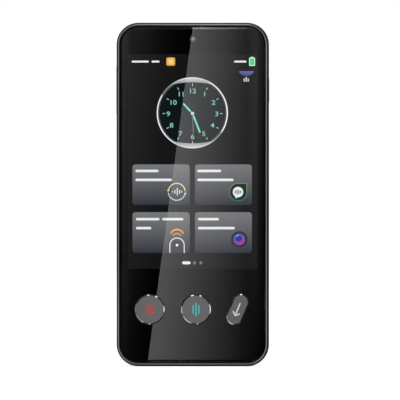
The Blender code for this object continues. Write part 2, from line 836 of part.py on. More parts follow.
def frame_lugs():
    """Lugs that reach in from the frame's long sides to the corner screws."""
    depth = (ledge_front - LUG_RAISE, ledge_back - LUG_RAISE)
    lugs = []
    for name, x, z in FRAME_SCREWS:
        tip = x - math.copysign(LUG_WIDTH / 2, x)
        root = math.copysign(BODY_WIDTH / 2 - FRAME_WALL / 2, x)
        span = (z - LUG_WIDTH / 2, z + LUG_WIDTH / 2)
        reach = (min(tip, root), max(tip, root))
        lugs.append(slab(f"{name}_lug", None, reach, depth, span, LUG_ROUND))
    return joined("frame_lugs", lugs)


def side_key_slots():
    slots = []
    for name, facing, side, length in SIDE_KEYS:
        place = (side * BODY_WIDTH / 2, y_at(side_key_depth), side_key_height)
        radius = SIDE_KEY_WIDTH / 2 + KEY_SIDE_GAP
        stretch = length - SIDE_KEY_WIDTH
        slots.append(
            plug(f"{name}_slot", radius, -FRAME_WALL - CUT_OVERRUN, CUT_OVERRUN, place, facing,
                 SMALL_ROUND_STEPS, stretch, QUARTER_TURN)
        )
    return joined("side_key_slots", slots)


def socket_hole():
    """The opening in the lower end that the charging socket stands in."""
    return plug(
        "socket_hole",
        SOCKET_HEIGHT / 2 + LIP_GAP,
        -FRAME_WALL - CUT_OVERRUN,
        CUT_OVERRUN,
        (0.0, y_at(socket_depth), 0.0),
        TOWARDS_BOTTOM,
        SMALL_ROUND_STEPS,
        SOCKET_WIDTH - SOCKET_HEIGHT,
        QUARTER_TURN,
    )


def microphone_holes():
    length = FRAME_WALL + 2 * CUT_OVERRUN
    holes = []
    for name, x, z in (
        ("top_microphone_hole", top_microphone_x, BODY_HEIGHT - FRAME_WALL - CUT_OVERRUN),
        ("bottom_microphone_hole", bottom_microphone_x, -CUT_OVERRUN),
    ):
        place = (x, y_at(microphone_depth), z)
        hole = plug(name, MICROPHONE_HOLE_RADIUS, 0.0, length, place, UPWARDS, SMALL_ROUND_STEPS)
        holes.append(hole)
    return joined("microphone_holes", holes)


def hook_blocks(name, grow):
    """The rear cover's snap hooks, three down each long edge, or the pockets that take them."""
    outer = BODY_WIDTH / 2 - FRAME_WALL + HOOK_REACH + grow
    inner = BODY_WIDTH / 2 - lip_outer_inset - LIP_WALL / 2
    middle = cover_front - LIP_HEIGHT + HOOK_ABOVE_LIP_EDGE + HOOK_HEIGHT / 2
    blocks = []
    for side in (-1, 1):
        for share in HOOK_SHARES:
            height = BODY_HEIGHT * share
            blocks.append(
                slab(
                    f"{name}_{side}_{share}",
                    None,
                    tuple(sorted((side * inner, side * outer))),
                    (middle - HOOK_HEIGHT / 2 - grow, middle + HOOK_HEIGHT / 2 + grow),
                    (height - HOOK_LENGTH / 2 - grow, height + HOOK_LENGTH / 2 + grow),
                )
            )
    return joined(name, blocks)


# Screws: name and place as seen from the front. The four in the corners reach the frame's lugs.
FRAME_SCREWS = (
    ("board_screw_1", -screw_x, BODY_HEIGHT - END_SCREW_INSET),
    ("board_screw_2", screw_x, BODY_HEIGHT - END_SCREW_INSET),
    ("board_screw_3", -screw_x, END_SCREW_INSET),
    ("board_screw_4", screw_x, END_SCREW_INSET),
)
PLATE_SCREWS = (
    ("board_screw_5", -screw_x, main_board_bottom + PLATE_SCREW_ABOVE_EDGE),
    ("board_screw_6", middle_screw_x, main_board_bottom + PLATE_SCREW_ABOVE_EDGE),
)
SCREWS = FRAME_SCREWS + PLATE_SCREWS


def screw_holes(name, screws, start, end):
    """Cutters for the screws' clearance holes between two depths."""
    radius = SCREW_RADIUS + FIT_GAP / 2
    return joined(
        name,
        [
            plug(f"{name}_{screw}", radius, start, end, (x, front_y, z), TOWARDS_REAR, SMALL_ROUND_STEPS)
            for screw, x, z in screws
        ],
    )


def make_screws():
    head_seat = board_back + SEAT_GAP
    head_top = head_seat + SCREW_HEAD_HEIGHT
    for name, x, z in SCREWS:
        shank_end = (ledge_front if (name, x, z) in FRAME_SCREWS else plate_front) + SEAT_GAP
        profile = [
            (0.0, head_top),
            (SCREW_HEAD_RADIUS - SCREW_HEAD_HEIGHT / 2, head_top),
            (SCREW_HEAD_RADIUS, head_seat + SCREW_HEAD_HEIGHT / 2),
            (SCREW_HEAD_RADIUS, head_seat),
            (SCREW_RADIUS, head_seat),
            (SCREW_RADIUS, shank_end),
            (0.0, shank_end),
        ]
        screw = turned(name, "screw_steel", profile, (x, front_y, z), TOWARDS_REAR, SMALL_ROUND_STEPS)
        depth = (head_top - SCREW_RECESS_DEPTH, head_top + CUT_OVERRUN)
        for size in (
            (SCREW_RECESS_LENGTH, SCREW_RECESS_WIDTH),
            (SCREW_RECESS_WIDTH, SCREW_RECESS_LENGTH),
        ):
            cut(screw, block_on(f"{name}_recess", None, (x, z), size, depth))


# Battery bay between the two boards
bay_left = -(BODY_WIDTH / 2 - plate_inset - FIT_GAP)
bay_right = BODY_WIDTH / 2 - FRAME_WALL - FLEX_CHANNEL
bay_bottom = lower_board_top + FIT_GAP
bay_top = main_board_bottom - FIT_GAP
cell_left = bay_left + RIB_THICKNESS + FIT_GAP
cell_right = bay_right - RIB_THICKNESS - FIT_GAP
cell_bottom = bay_bottom + RIB_THICKNESS + FIT_GAP
strip_top = bay_top - RIB_THICKNESS - FIT_GAP
strip_bottom = strip_top - BATTERY_STRIP_HEIGHT
cell_top = strip_bottom - FIT_GAP


def battery_ribs():
    """Four ribs that stand round the battery, open at its corners."""
    depth = (plate_front + PLATE_THICKNESS / 2, plate_back + RIB_HEIGHT)
    long_z = (bay_bottom + RIB_CORNER_GAP, bay_top - RIB_CORNER_GAP)
    short_x = (bay_left + RIB_CORNER_GAP, bay_right - RIB_CORNER_GAP)
    return joined(
        "battery_ribs",
        [
            slab("rib_left", None, (bay_left, bay_left + RIB_THICKNESS), depth, long_z),
            slab("rib_right", None, (bay_right - RIB_THICKNESS, bay_right), depth, long_z),
            slab("rib_bottom", None, short_x, depth, (bay_bottom, bay_bottom + RIB_THICKNESS)),
            slab("rib_top", None, short_x, depth, (bay_top - RIB_THICKNESS, bay_top)),
        ],
    )


def plate_windows():
    """Openings in the plate for the front camera, the screen's flex and the key board's flex."""
    depth = (plate_front - CUT_OVERRUN, plate_back + CUT_OVERRUN)
    camera = FRONT_CAMERA_SIZE + 2 * FIT_GAP
    slot_height = 4 * FLEX_BEND + 2 * FLEX_SLOT_GAP
    return joined(
        "plate_windows",
        [
            block_on("camera_window", None, (0.0, front_camera_height), (camera, camera), depth),
            block_on(
                "display_flex_slot",
                None,
                (0.0, lcd_bottom - 2 * FLEX_BEND + FLEX_SLOT_GAP),
                (DISPLAY_FLEX_WIDTH + 2 * FLEX_SLOT_GAP, slot_height),
                depth,
            ),
            block_on(
                "key_flex_slot",
                None,
                (key_flex_x, DECK_BOTTOM - 2 * FLEX_BEND),
                (KEY_FLEX_WIDTH + 2 * FLEX_SLOT_GAP, slot_height),
                depth,
            ),
        ],
    )


def make_mid_chassis():
    """The middle plate: it carries the screen in front, and the boards and battery behind."""
    plate = inset_slab("mid_chassis", "plate_metal", plate_inset, (plate_front, plate_back))
    start = plate_front + PLATE_THICKNESS / 2
    end = board_front - SEAT_GAP
    bosses = joined(
        "screw_bosses",
        [
            plug(f"boss_{name}", BOSS_RADIUS, start, end, (x, front_y, z), TOWARDS_REAR, SMALL_ROUND_STEPS)
            for name, x, z in SCREWS
        ],
    )
    join(plate, bosses, battery_ribs())
    holes = screw_holes("plate_screw_holes", SCREWS, plate_front - CUT_OVERRUN, board_front)
    cut(plate, plate_windows(), holes)


def make_main_board():
    half = BODY_WIDTH / 2 - board_inset
    board = slab(
        "main_board",
        "circuit_board",
        (-half, half),
        (board_front, board_back),
        (main_board_bottom, main_board_top),
        corner=BOARD_SQUARE_CORNER,
    )
    outline = slab(
        "main_board_outline",
        None,
        (-half - CUT_OVERRUN, half + CUT_OVERRUN),
        (board_front - CUT_OVERRUN, board_back + CUT_OVERRUN),
        (main_board_top - CORNER_RADIUS, main_board_top + CUT_OVERRUN),
    )
    cut(outline, board_corner_keeper("main_keeper", main_board_top - 2 * CORNER_RADIUS, main_board_top))
    camera = CAMERA_SIZE + 2 * FIT_GAP
    through = (board_front - CUT_OVERRUN, board_back + CUT_OVERRUN)
    window = block_on("camera_hole", None, (camera_x, camera_height), (camera, camera), through)
    cut(board, outline, window, screw_holes("main_board_holes", SCREWS, *through))


def board_corner_keeper(name, bottom, top):
    """A slab whose rounded corners follow the frame's, used to trim a board to the frame's inside."""
    half = BODY_WIDTH / 2 - board_inset
    depth = (board_front - 2 * CUT_OVERRUN, board_back + 2 * CUT_OVERRUN)
    return slab(name, None, (-half, half), depth, (bottom, top), corner=CORNER_RADIUS - board_inset)


def make_lower_board():
    half = BODY_WIDTH / 2 - board_inset
    through = (board_front - CUT_OVERRUN, board_back + CUT_OVERRUN)
    board = slab(
        "lower_board",
        "circuit_board",
        (-half, half),
        (board_front, board_back),
        (lower_board_bottom, lower_board_top),
        corner=BOARD_SQUARE_CORNER,
    )
    outline = slab(
        "lower_board_outline",
        None,
        (-half - CUT_OVERRUN, half + CUT_OVERRUN),
        through,
        (lower_board_bottom - CUT_OVERRUN, lower_board_bottom + CORNER_RADIUS),
    )
    keeper_top = lower_board_bottom + 2 * CORNER_RADIUS
    cut(outline, board_corner_keeper("lower_keeper", lower_board_bottom, keeper_top))
    notch_half = SOCKET_WIDTH / 2 + FIT_GAP
    notch = slab(
        "socket_notch",
        None,
        (-notch_half, notch_half),
        through,
        (-CUT_OVERRUN, SOCKET_RECESS + SOCKET_LENGTH + FIT_GAP),
    )
    cut(board, outline, notch, screw_holes("lower_board_holes", SCREWS, *through))


def make_shield(name, x, z):
    """A pressed steel can over the chips between two places each way, open towards the board."""
    outside = (part_seat, part_seat + SHIELD_HEIGHT)
    can = slab(name, "shield_steel", x, outside, z, SHIELD_CORNER)
    inside_x = (x[0] + SHIELD_WALL, x[1] - SHIELD_WALL)
    inside_z = (z[0] + SHIELD_WALL, z[1] - SHIELD_WALL)
    depth = (part_seat - CUT_OVERRUN, part_seat + SHIELD_HEIGHT - SHIELD_WALL)
    cut(can, slab(f"{name}_inside", None, inside_x, depth, inside_z, SHIELD_CORNER - SHIELD_WALL))


def make_chip(name, centre, size, height=CHIP_HEIGHT, finish="chip_plastic"):
    block_on(name, finish, centre, size, (part_seat, part_seat + height))


def make_board_parts():
    radio_x = (
        SCREW_HEAD_RADIUS + RADIO_SHIELD_SCREW_GAP - screw_x,
        battery_lead_x - CONNECTOR_SIZE[0] / 2 - RADIO_SHIELD_CONNECTOR_GAP,
    )
    radio_bottom = main_board_bottom + RADIO_SHIELD_EDGE_GAP
    radio_z = (radio_bottom, radio_bottom + RADIO_SHIELD_HEIGHT)
    make_shield("radio_shield", radio_x, radio_z)
    make_chip("radio_chip", (sum(radio_x) / 2, sum(radio_z) / 2), RADIO_SIZE)
    shield_x = (
        board_inset + SWITCH_WIDTH + PROCESSOR_SHIELD_SIDE_GAP - BODY_WIDTH / 2,
        camera_x - CAMERA_SIZE / 2 - PROCESSOR_SHIELD_CAMERA_GAP,
    )
    shield_z = (radio_z[1] + SHIELD_SPACING, main_board_top - PROCESSOR_SHIELD_TOP_GAP)
    make_shield("processor_shield", shield_x, shield_z)
    pair_width = PROCESSOR_SIZE[0] + CHIP_GAP + MEMORY_SIZE[0]
    pair_left = sum(shield_x) / 2 - pair_width / 2
    chip_row = sum(shield_z) / 2
    make_chip("processor_chip", (pair_left + PROCESSOR_SIZE[0] / 2, chip_row), PROCESSOR_SIZE)
    make_chip("memory_chip", (pair_left + pair_width - MEMORY_SIZE[0] / 2, chip_row), MEMORY_SIZE)
    antenna_row = main_board_top - ANTENNA_EDGE_GAP - ANTENNA_SIZE[1] / 2
    make_chip("wifi_antenna", (antenna_x, antenna_row), ANTENNA_SIZE, ANTENNA_HEIGHT, "flash_plastic")
    half = MICROPHONE_SIZE[1] / 2 + MICROPHONE_EDGE_GAP
    make_chip("top_microphone", (top_microphone_x, main_board_top - half), MICROPHONE_SIZE,
              MICROPHONE_HEIGHT, "shield_steel")
    make_chip("bottom_microphone", (bottom_microphone_x, lower_board_bottom + half), MICROPHONE_SIZE,
              MICROPHONE_HEIGHT, "shield_steel")


def make_battery():
    slab(
        "battery_cell",
        "battery_pouch",
        (cell_left, cell_right),
        (battery_front, battery_back),
        (cell_bottom, cell_top),
        corner=BATTERY_ROUND,
        front=BATTERY_ROUND / 2,
        back=BATTERY_ROUND / 2,
    )
    slab(
        "battery_strip",
        "black_plastic",
        (cell_left, cell_right),
        (battery_front, battery_front + BATTERY_STRIP_THICKNESS),
        (strip_bottom, strip_top),
    )
    connector_z = main_board_bottom + LINK_CONNECTOR_EDGE_GAP + CONNECTOR_SIZE[1] / 2
    make_chip("battery_connector", (battery_lead_x, connector_z), CONNECTOR_SIZE, CONNECTOR_HEIGHT)
    lead_depth = max(
        battery_front + BATTERY_STRIP_THICKNESS, part_seat + CONNECTOR_HEIGHT, plate_back + RIB_HEIGHT
    )
    lead_depth += SEAT_GAP + FLEX_THICKNESS / 2
    ribbon(
        "battery_lead",
        [(lead_depth, strip_bottom + BATTERY_STRIP_HEIGHT / 2), (lead_depth, connector_z)],
        battery_lead_x,
        BATTERY_LEAD_WIDTH,
    )


def make_link_flex():
    """The ribbon up the battery's right side that joins the lower board to the main board."""
    x = BODY_WIDTH / 2 - board_inset - CONNECTOR_SIZE[0] / 2
    upper = main_board_bottom + LINK_CONNECTOR_EDGE_GAP + CONNECTOR_SIZE[1] / 2
    lower = lower_board_top - LINK_CONNECTOR_EDGE_GAP - CONNECTOR_SIZE[1] / 2
    make_chip("upper_link_connector", (x, upper), CONNECTOR_SIZE, CONNECTOR_HEIGHT)
    make_chip("lower_link_connector", (x, lower), CONNECTOR_SIZE, CONNECTOR_HEIGHT)
    high = part_seat + CONNECTOR_HEIGHT + SEAT_GAP + FLEX_THICKNESS / 2
    low = plate_back + SEAT_GAP + FLEX_THICKNESS / 2
    radius = FLEX_BEND
    half = CONNECTOR_SIZE[1] / 2
    bottom = lower_board_top + FIT_GAP + FLEX_THICKNESS
    top = main_board_bottom - FIT_GAP - FLEX_THICKNESS
    path = [(high, lower - half)]
    path += bend((high - radius, bottom), 0, 90, radius)
    path += bend((low + radius, bottom + 2 * radius), 270, 180, radius)
    path += bend((low + radius, top - 2 * radius), 180, 90, radius)
    path += bend((high - radius, top), 270, 360, radius)
    path += [(high, upper + half)]
    ribbon("link_flex", path, x, LINK_FLEX_WIDTH)


def make_key_flex():
    """The short flex from the key board's lower edge, round through the plate, to the lower board."""
    start = (key_board_front + key_board_back) / 2
    end = board_front - SEAT_GAP - FLEX_THICKNESS / 2
    top = DECK_BOTTOM - SEAT_GAP
    turn = top - FLEX_BEND
    path = [(start, top)]
    path += bend((start + FLEX_BEND, turn), 180, 270, FLEX_BEND)
    path += bend((end - FLEX_BEND, turn), 270, 360, FLEX_BEND)
    path += [(end, top + DISPLAY_FLEX_LAP)]
    ribbon("key_flex", path, key_flex_x, KEY_FLEX_WIDTH)


def make_socket():
    """The charging socket: a drawn steel sleeve with a contact tongue inside."""
    centre = (0.0, y_at(socket_depth), SOCKET_RECESS)
    radius = SOCKET_HEIGHT / 2
    stretch = SOCKET_WIDTH - SOCKET_HEIGHT
    sleeve = plug("usb_socket", radius, -SOCKET_LENGTH, 0.0, centre, TOWARDS_BOTTOM,
                  SMALL_ROUND_STEPS, stretch, QUARTER_TURN, "shield_steel")
    back = -SOCKET_LENGTH + SOCKET_BACK_WALL
    inside = plug("socket_inside", radius - SOCKET_WALL, back, CUT_OVERRUN, centre, TOWARDS_BOTTOM,
                  SMALL_ROUND_STEPS, stretch, QUARTER_TURN)
    cut(sleeve, inside)
    slab(
        "usb_tongue",
        "black_plastic",
        (-TONGUE_WIDTH / 2, TONGUE_WIDTH / 2),
        (socket_depth - TONGUE_THICKNESS / 2, socket_depth + TONGUE_THICKNESS / 2),
        (SOCKET_RECESS + TONGUE_RECESS, SOCKET_RECESS + SOCKET_LENGTH - SOCKET_BACK_WALL - SEAT_GAP),
    )


speaker_centre = (0.0, SPEAKER_ABOVE_END)
speaker_seat = board_back + FIT_GAP
mesh_back = cover_inside - SEAT_GAP
mesh_front = mesh_back - MESH_THICKNESS
gasket_back = mesh_front - SEAT_GAP
gasket_front = gasket_back - GASKET_THICKNESS
speaker_back = gasket_front - SEAT_GAP


def mouth_plug(name, grow, start, end, finish=None):
    """A round-ended bar the size of the loudspeaker's mouth, grown all round."""
    width, height = SPEAKER_MOUTH_SIZE
    place = (speaker_centre[0], front_y, speaker_centre[1])
    return plug(name, height / 2 + grow, start, end, place, TOWARDS_REAR, ROUND_STEPS,
                width - height, QUARTER_TURN, finish)


def make_speaker():
    width, height = SPEAKER_MOUTH_SIZE
    depth = (speaker_seat, speaker_back)
    box = block_on("speaker_box", "black_plastic", speaker_centre, SPEAKER_SIZE, depth, SPEAKER_CORNER)
    cut(box, mouth_plug("speaker_mouth", 0.0, speaker_seat + SPEAKER_WALL, speaker_back + CUT_OVERRUN))
    rim = speaker_back - DIAPHRAGM_CROWN - SEAT_GAP
    radius = height / 2 - LAYER_GAP
    cone = [
        (0.0, rim + DIAPHRAGM_CROWN),
        (radius / 2, rim + DIAPHRAGM_CROWN),
        (radius, rim),
        (radius, rim - DIAPHRAGM_THICKNESS),
        (radius / 2, rim + DIAPHRAGM_CROWN - DIAPHRAGM_THICKNESS),
        (0.0, rim + DIAPHRAGM_CROWN - DIAPHRAGM_THICKNESS),
    ]
    place = (speaker_centre[0], front_y, speaker_centre[1])
    turned("speaker_diaphragm", "black_plastic", cone, place, TOWARDS_REAR, ROUND_STEPS,
           width - height, QUARTER_TURN)
    gasket = mouth_plug("speaker_gasket", GASKET_WIDTH, gasket_front, gasket_back, "foam")
    cut(gasket, mouth_plug("gasket_opening", 0.0, gasket_front - CUT_OVERRUN, gasket_back + CUT_OVERRUN))
    mouth_plug("speaker_mesh", GASKET_WIDTH, mesh_front, mesh_back, "speaker_cloth")


# Rear camera's glass sits in the ring, and the ring in the cover
bezel_back = body_back + BEZEL_PROUD
camera_glass_back = bezel_back - CAMERA_GLASS_RECESS
camera_glass_front = camera_glass_back - CAMERA_GLASS_THICKNESS
bezel_opening = BEZEL_RADIUS - BEZEL_WIDTH
bezel_stem = BEZEL_RADIUS - BEZEL_FLANGE
glass_radius = bezel_opening - SEAT_GAP
camera_barrel_back = camera_glass_front - CAMERA_BARREL_GAP - LAYER_GAP


def make_rear_camera():
    place = (camera_x, front_y, camera_height)
    base_front = plate_back + FIT_GAP
    base_back = base_front + CAMERA_BASE_HEIGHT
    body = block_on("rear_camera", "chip_plastic", (camera_x, camera_height), (CAMERA_SIZE, CAMERA_SIZE),
                    (base_front, base_back), LCD_CORNER)
    barrel = turned(
        "rear_camera_barrel",
        None,
        [
            (0.0, camera_barrel_back - CAMERA_LENS_DISH),
            (CAMERA_LENS_RADIUS, camera_barrel_back),
            (CAMERA_BARREL_RADIUS, camera_barrel_back),
            (CAMERA_BARREL_RADIUS, base_back - CAMERA_BASE_HEIGHT / 2),
            (0.0, base_back - CAMERA_BASE_HEIGHT / 2),
        ],
        place,
        TOWARDS_REAR,
        ROUND_STEPS,
    )
    join(body, barrel)
    seat = camera_glass_front - SEAT_GAP
    inner_step = bezel_opening - (BEZEL_WIDTH - BEZEL_FLANGE)
    turned(
        "camera_bezel",
        "bezel_metal",
        [
            (BEZEL_RADIUS - BEZEL_CHAMFER, bezel_back),
            (BEZEL_RADIUS, bezel_back - BEZEL_CHAMFER),
            (BEZEL_RADIUS, body_back - BEZEL_SINK),
            (bezel_stem, body_back - BEZEL_SINK),
            (bezel_stem, cover_inside),
            (inner_step, cover_inside),
            (inner_step, seat),
            (bezel_opening, seat),
            (bezel_opening, bezel_back),
            (BEZEL_RADIUS - BEZEL_CHAMFER, bezel_back),
        ],
        place,
        TOWARDS_REAR,
        ROUND_STEPS,
    )
    plug("camera_glass", glass_radius, camera_glass_front, camera_glass_back, place, TOWARDS_REAR,
         ROUND_STEPS, finish="lens_glass")


def make_flash():
    height = camera_height - FLASH_BELOW_CAMERA
    place = (camera_x, front_y, height)
    size = (FLASH_LED_SIZE, FLASH_LED_SIZE)
    make_chip("flash_led", (camera_x, height), size, FLASH_LED_HEIGHT, "flash_plastic")
    led_back = part_seat + FLASH_LED_HEIGHT
    turned(
        "flash_window",
        "flash_plastic",
        [
            (0.0, body_back),
            (FLASH_WINDOW_RADIUS, body_back),
            (FLASH_WINDOW_RADIUS, cover_inside),
            (FLASH_STEM_RADIUS, cover_inside),
            (FLASH_STEM_RADIUS, led_back + FIT_GAP),
            (0.0, led_back + FIT_GAP),
        ],
        place,
        TOWARDS_REAR,
        SMALL_ROUND_STEPS,
    )


def speaker_slots():
    """The row of round-ended slots over the loudspeaker."""
    start = -(SPEAKER_SLOTS - 1) / 2 * SLOT_PITCH
    return joined(
        "speaker_slots",
        [
            plug(
                f"speaker_slot_{i}",
                SLOT_WIDTH / 2,
                cover_inside - CUT_OVERRUN,
                body_back + CUT_OVERRUN,
                (speaker_centre[0] + start + i * SLOT_PITCH, front_y, speaker_centre[1]),
                TOWARDS_REAR,
                SMALL_ROUND_STEPS,
                SLOT_HEIGHT - SLOT_WIDTH,
            )
            for i in range(SPEAKER_SLOTS)
        ],
    )


def make_rear_cover():
    depth = (cover_front, body_back)
    cover = inset_slab(
        "rear_cover", "cover_plastic", 0.0, depth, back=COVER_ROUND, back_steps=COVER_EDGE_STEPS
    )
    lip_depth = (cover_front - LIP_HEIGHT, cover_inside + COVER_WALL / 2)
    lip = inset_slab("cover_lip", None, lip_outer_inset, lip_depth)
    join(cover, lip, hook_blocks("cover_hooks", 0.0))
    hollow_depth = (cover_front - LIP_HEIGHT - CUT_OVERRUN, cover_inside)
    hollow = inset_slab("cover_hollow", None, lip_inner_inset, hollow_depth)
    through = (cover_inside - CUT_OVERRUN, body_back + CUT_OVERRUN)
    flash_place = (camera_x, front_y, camera_height - FLASH_BELOW_CAMERA)
    flash_radius = FLASH_WINDOW_RADIUS + SEAT_GAP
    flash_hole = plug("flash_hole", flash_radius, *through, flash_place, TOWARDS_REAR, SMALL_ROUND_STEPS)
    holes = joined("cover_holes", [stepped_bezel_hole(), flash_hole])
    cut(cover, hollow, holes, speaker_slots(), lip_reliefs())


def stepped_bezel_hole():
    """The camera hole in the cover, with the counterbore that the ring's flange lies in."""
    seat = body_back - BEZEL_SINK - SEAT_GAP
    profile = [
        (0.0, body_back + CUT_OVERRUN),
        (BEZEL_RADIUS + SEAT_GAP, body_back + CUT_OVERRUN),
        (BEZEL_RADIUS + SEAT_GAP, seat),
        (bezel_stem + SEAT_GAP, seat),
        (bezel_stem + SEAT_GAP, cover_inside - CUT_OVERRUN),
        (0.0, cover_inside - CUT_OVERRUN),
    ]
    return turned("bezel_hole", None, profile, (camera_x, front_y, camera_height), TOWARDS_REAR)


def lip_reliefs():
    """Notches that let the cover's lip pass the charging socket and the side keys' flanges."""
    depth = (cover_front - LIP_HEIGHT - CUT_OVERRUN, cover_front)
    socket_half = SOCKET_WIDTH / 2 + FIT_GAP
    socket_z = (-CUT_OVERRUN, lip_inner_inset + CUT_OVERRUN)
    reliefs = [slab("socket_relief", None, (-socket_half, socket_half), depth, socket_z)]
    for name, _, side, length in SIDE_KEYS:
        half = length / 2 + SIDE_FLANGE_WIDTH + FIT_GAP
        inner = side * (BODY_WIDTH / 2 - lip_inner_inset - CUT_OVERRUN)
        outer = side * (BODY_WIDTH / 2 + CUT_OVERRUN)
        span = (side_key_height - half, side_key_height + half)
        reliefs.append(slab(f"{name}_relief", None, (min(inner, outer), max(inner, outer)), depth, span))
    return joined("lip_reliefs", reliefs)


def settle_parts():
    """Fixes each piece's modifiers in its mesh, then shades its edges by their angle."""
    for piece in PARTS.objects:
        if piece.type == "MESH" and piece.modifiers:
            mesh = evaluated_mesh(piece)
            piece.modifiers.clear()
            piece.data = mesh
            smooth(mesh)


make_side_frame()
make_cover_glass()
make_front_keys()
make_key_deck()
make_screen()
make_front_camera()
make_mid_chassis()
make_main_board()
make_lower_board()
make_board_parts()
make_side_keys()
make_rear_camera()
make_flash()
make_battery()
make_link_flex()
make_key_flex()
make_socket()
make_speaker()
make_screws()
make_rear_cover()
settle_parts()
print(f"body {BODY_WIDTH * 1000:.2f} x {body_back * 1000:.2f} x {BODY_HEIGHT * 1000:.2f} mm")
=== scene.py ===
import math
from contextlib import contextmanager

import bmesh
import bpy
from bpy.props import FloatProperty, FloatVectorProperty, IntProperty, PointerProperty
from mathutils import Matrix, Vector


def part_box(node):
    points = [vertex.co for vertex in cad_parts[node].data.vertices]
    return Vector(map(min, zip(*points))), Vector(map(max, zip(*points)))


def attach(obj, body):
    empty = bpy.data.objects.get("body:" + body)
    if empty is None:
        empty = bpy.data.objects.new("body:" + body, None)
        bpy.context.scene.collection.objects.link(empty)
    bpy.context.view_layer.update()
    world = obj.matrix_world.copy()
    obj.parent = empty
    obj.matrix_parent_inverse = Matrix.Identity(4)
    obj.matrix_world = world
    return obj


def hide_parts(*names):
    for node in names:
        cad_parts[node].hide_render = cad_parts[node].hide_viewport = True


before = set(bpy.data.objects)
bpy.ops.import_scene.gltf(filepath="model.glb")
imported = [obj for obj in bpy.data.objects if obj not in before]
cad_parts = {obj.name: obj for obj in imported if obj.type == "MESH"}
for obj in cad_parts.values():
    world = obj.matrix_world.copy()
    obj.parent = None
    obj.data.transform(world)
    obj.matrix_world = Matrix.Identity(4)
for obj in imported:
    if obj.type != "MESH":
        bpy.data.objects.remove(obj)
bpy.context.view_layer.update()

bl_info = {
    "name": "Handheld translator",
    "version": (1, 0, 0),
    "blender": (4, 5, 0),
    "location": "3D View > Sidebar > Translator",
    "description": "Models a handheld translator's visible pieces round its CAD frame",
    "category": "Object",
}

# The CAD model's own boxes, which the pieces are fitted to
FRAME_LOW, FRAME_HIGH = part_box("side_frame")
GLASS_LOW, GLASS_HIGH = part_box("cover_glass")
COVER_LOW, COVER_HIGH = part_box("rear_cover")
PANEL_LOW, PANEL_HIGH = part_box("lcd_panel")
KEY_LOW, KEY_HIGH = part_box("right_talk_key")
MM = 0.001
HALF = 0.5
BODY_HEIGHT = FRAME_HIGH.z
BODY_HALF = FRAME_HIGH.x

# Ways a turned piece can face, from its own +Z
FRONT = Matrix.Rotation(math.radians(90), 4, "X")
REAR = Matrix.Rotation(math.radians(-90), 4, "X")
RIGHT = Matrix.Rotation(math.radians(90), 4, "Y")
LEFT = Matrix.Rotation(math.radians(-90), 4, "Y")
DOWN = Matrix.Rotation(math.radians(180), 4, "X")
QUARTER = math.radians(90)
# Where a piece is shaped before it is put in its place
AT_ORIGIN = ((0, 0, 0), Matrix.Identity(4))


def length(name, default, description):
    """A size in metres that a user can change."""
    return FloatProperty(name=name, description=description, default=default, min=0.0, unit="LENGTH")


def colour(name, default, description):
    """A colour that a user can change."""
    return FloatVectorProperty(
        name=name, description=description, default=default, size=3, min=0.0, max=1.0, subtype="COLOR"
    )


class TranslatorSizes(bpy.types.PropertyGroup):
    """Sizes of the body and its keys"""

    corner_radius: length("Corner radius", 8.8 * MM, "Radius of the body's corners seen from the front")
    corner_steps: IntProperty(name="Corner steps", description="Faces round each corner", default=20, min=4)
    round_steps: IntProperty(name="Round steps", description="Faces round a turned piece", default=72, min=16)
    frame_wall: length("Frame wall", 2.2 * MM, "Thickness of the frame's side walls")
    rim_width: length("Rim width", 1.25 * MM, "Width of the frame's rim round the glass")
    rim_line: length("Rim line", 0.40 * MM, "Width of the rim's outer slope")
    rim_rise: length("Rim rise", 0.14 * MM, "Height of the ridge along the rim")
    rim_round: length("Rim rounding", 0.5 * MM, "Rounding of the frame's front edge")
    glass_edge: length("Glass edge", 0.7 * MM, "Rounding of the glass's front edge")
    cover_round: length("Cover rounding", 2.0 * MM, "Rounding of the rear cover's edge")
    talk_key_radius: length("Talk key radius", 5.95 * MM, "Radius of the two round keys")
    back_key_width: length("Back key width", 6.3 * MM, "Width of the oblong key")
    back_key_length: length("Back key length", 12.8 * MM, "Length of the oblong key")
    back_key_tilt: FloatProperty(
        name="Back key tilt",
        description="How far the oblong key leans to the right",
        default=math.radians(-22.5),
        subtype="ANGLE",
    )
    key_gap: length("Key gap", 0.2 * MM, "Gap between a key and its hole")
    key_chamfer: length("Key chamfer", 0.35 * MM, "Width of the cut rim round a key")


class TranslatorColours(bpy.types.PropertyGroup):
    """Colours of the body, its keys and the lit screen"""

    band: colour("Band", (0.042, 0.042, 0.044), "Dark metal of the side frame")
    rim: colour("Rim", (0.300, 0.300, 0.303), "Metal of the ridge round the frame's front edge")
    print: colour("Print", (0.0006, 0.0006, 0.0006), "Black print behind the glass")
    cap: colour("Key caps", (0.188, 0.189, 0.187), "Satin metal of the keys")
    left_mark: colour("Left mark", (0.600, 0.055, 0.075), "Mark on the left talk key")
    right_mark: colour("Right mark", (0.060, 0.560, 0.560), "Mark on the right talk key")
    cover: colour("Rear cover", (0.018, 0.018, 0.019), "Matt plastic of the rear cover")
    screen: colour("Screen", (0.0088, 0.0088, 0.0092), "Dark ground of the screen's picture")
    numbers: colour("Numbers", (0.240, 0.640, 0.510), "Numbers of the clock on the screen")
    hands: colour("Hands", (0.200, 0.780, 0.610), "Hands of the clock on the screen")
    tile_top: colour("Tile top", (0.205, 0.205, 0.216), "Upper end of a tile on the screen")
    tile_bottom: colour("Tile bottom", (0.036, 0.038, 0.053), "Lower end of a tile on the screen")
    floor: colour("Floor", (0.500, 0.500, 0.500), "Pale floor that the part stands on")


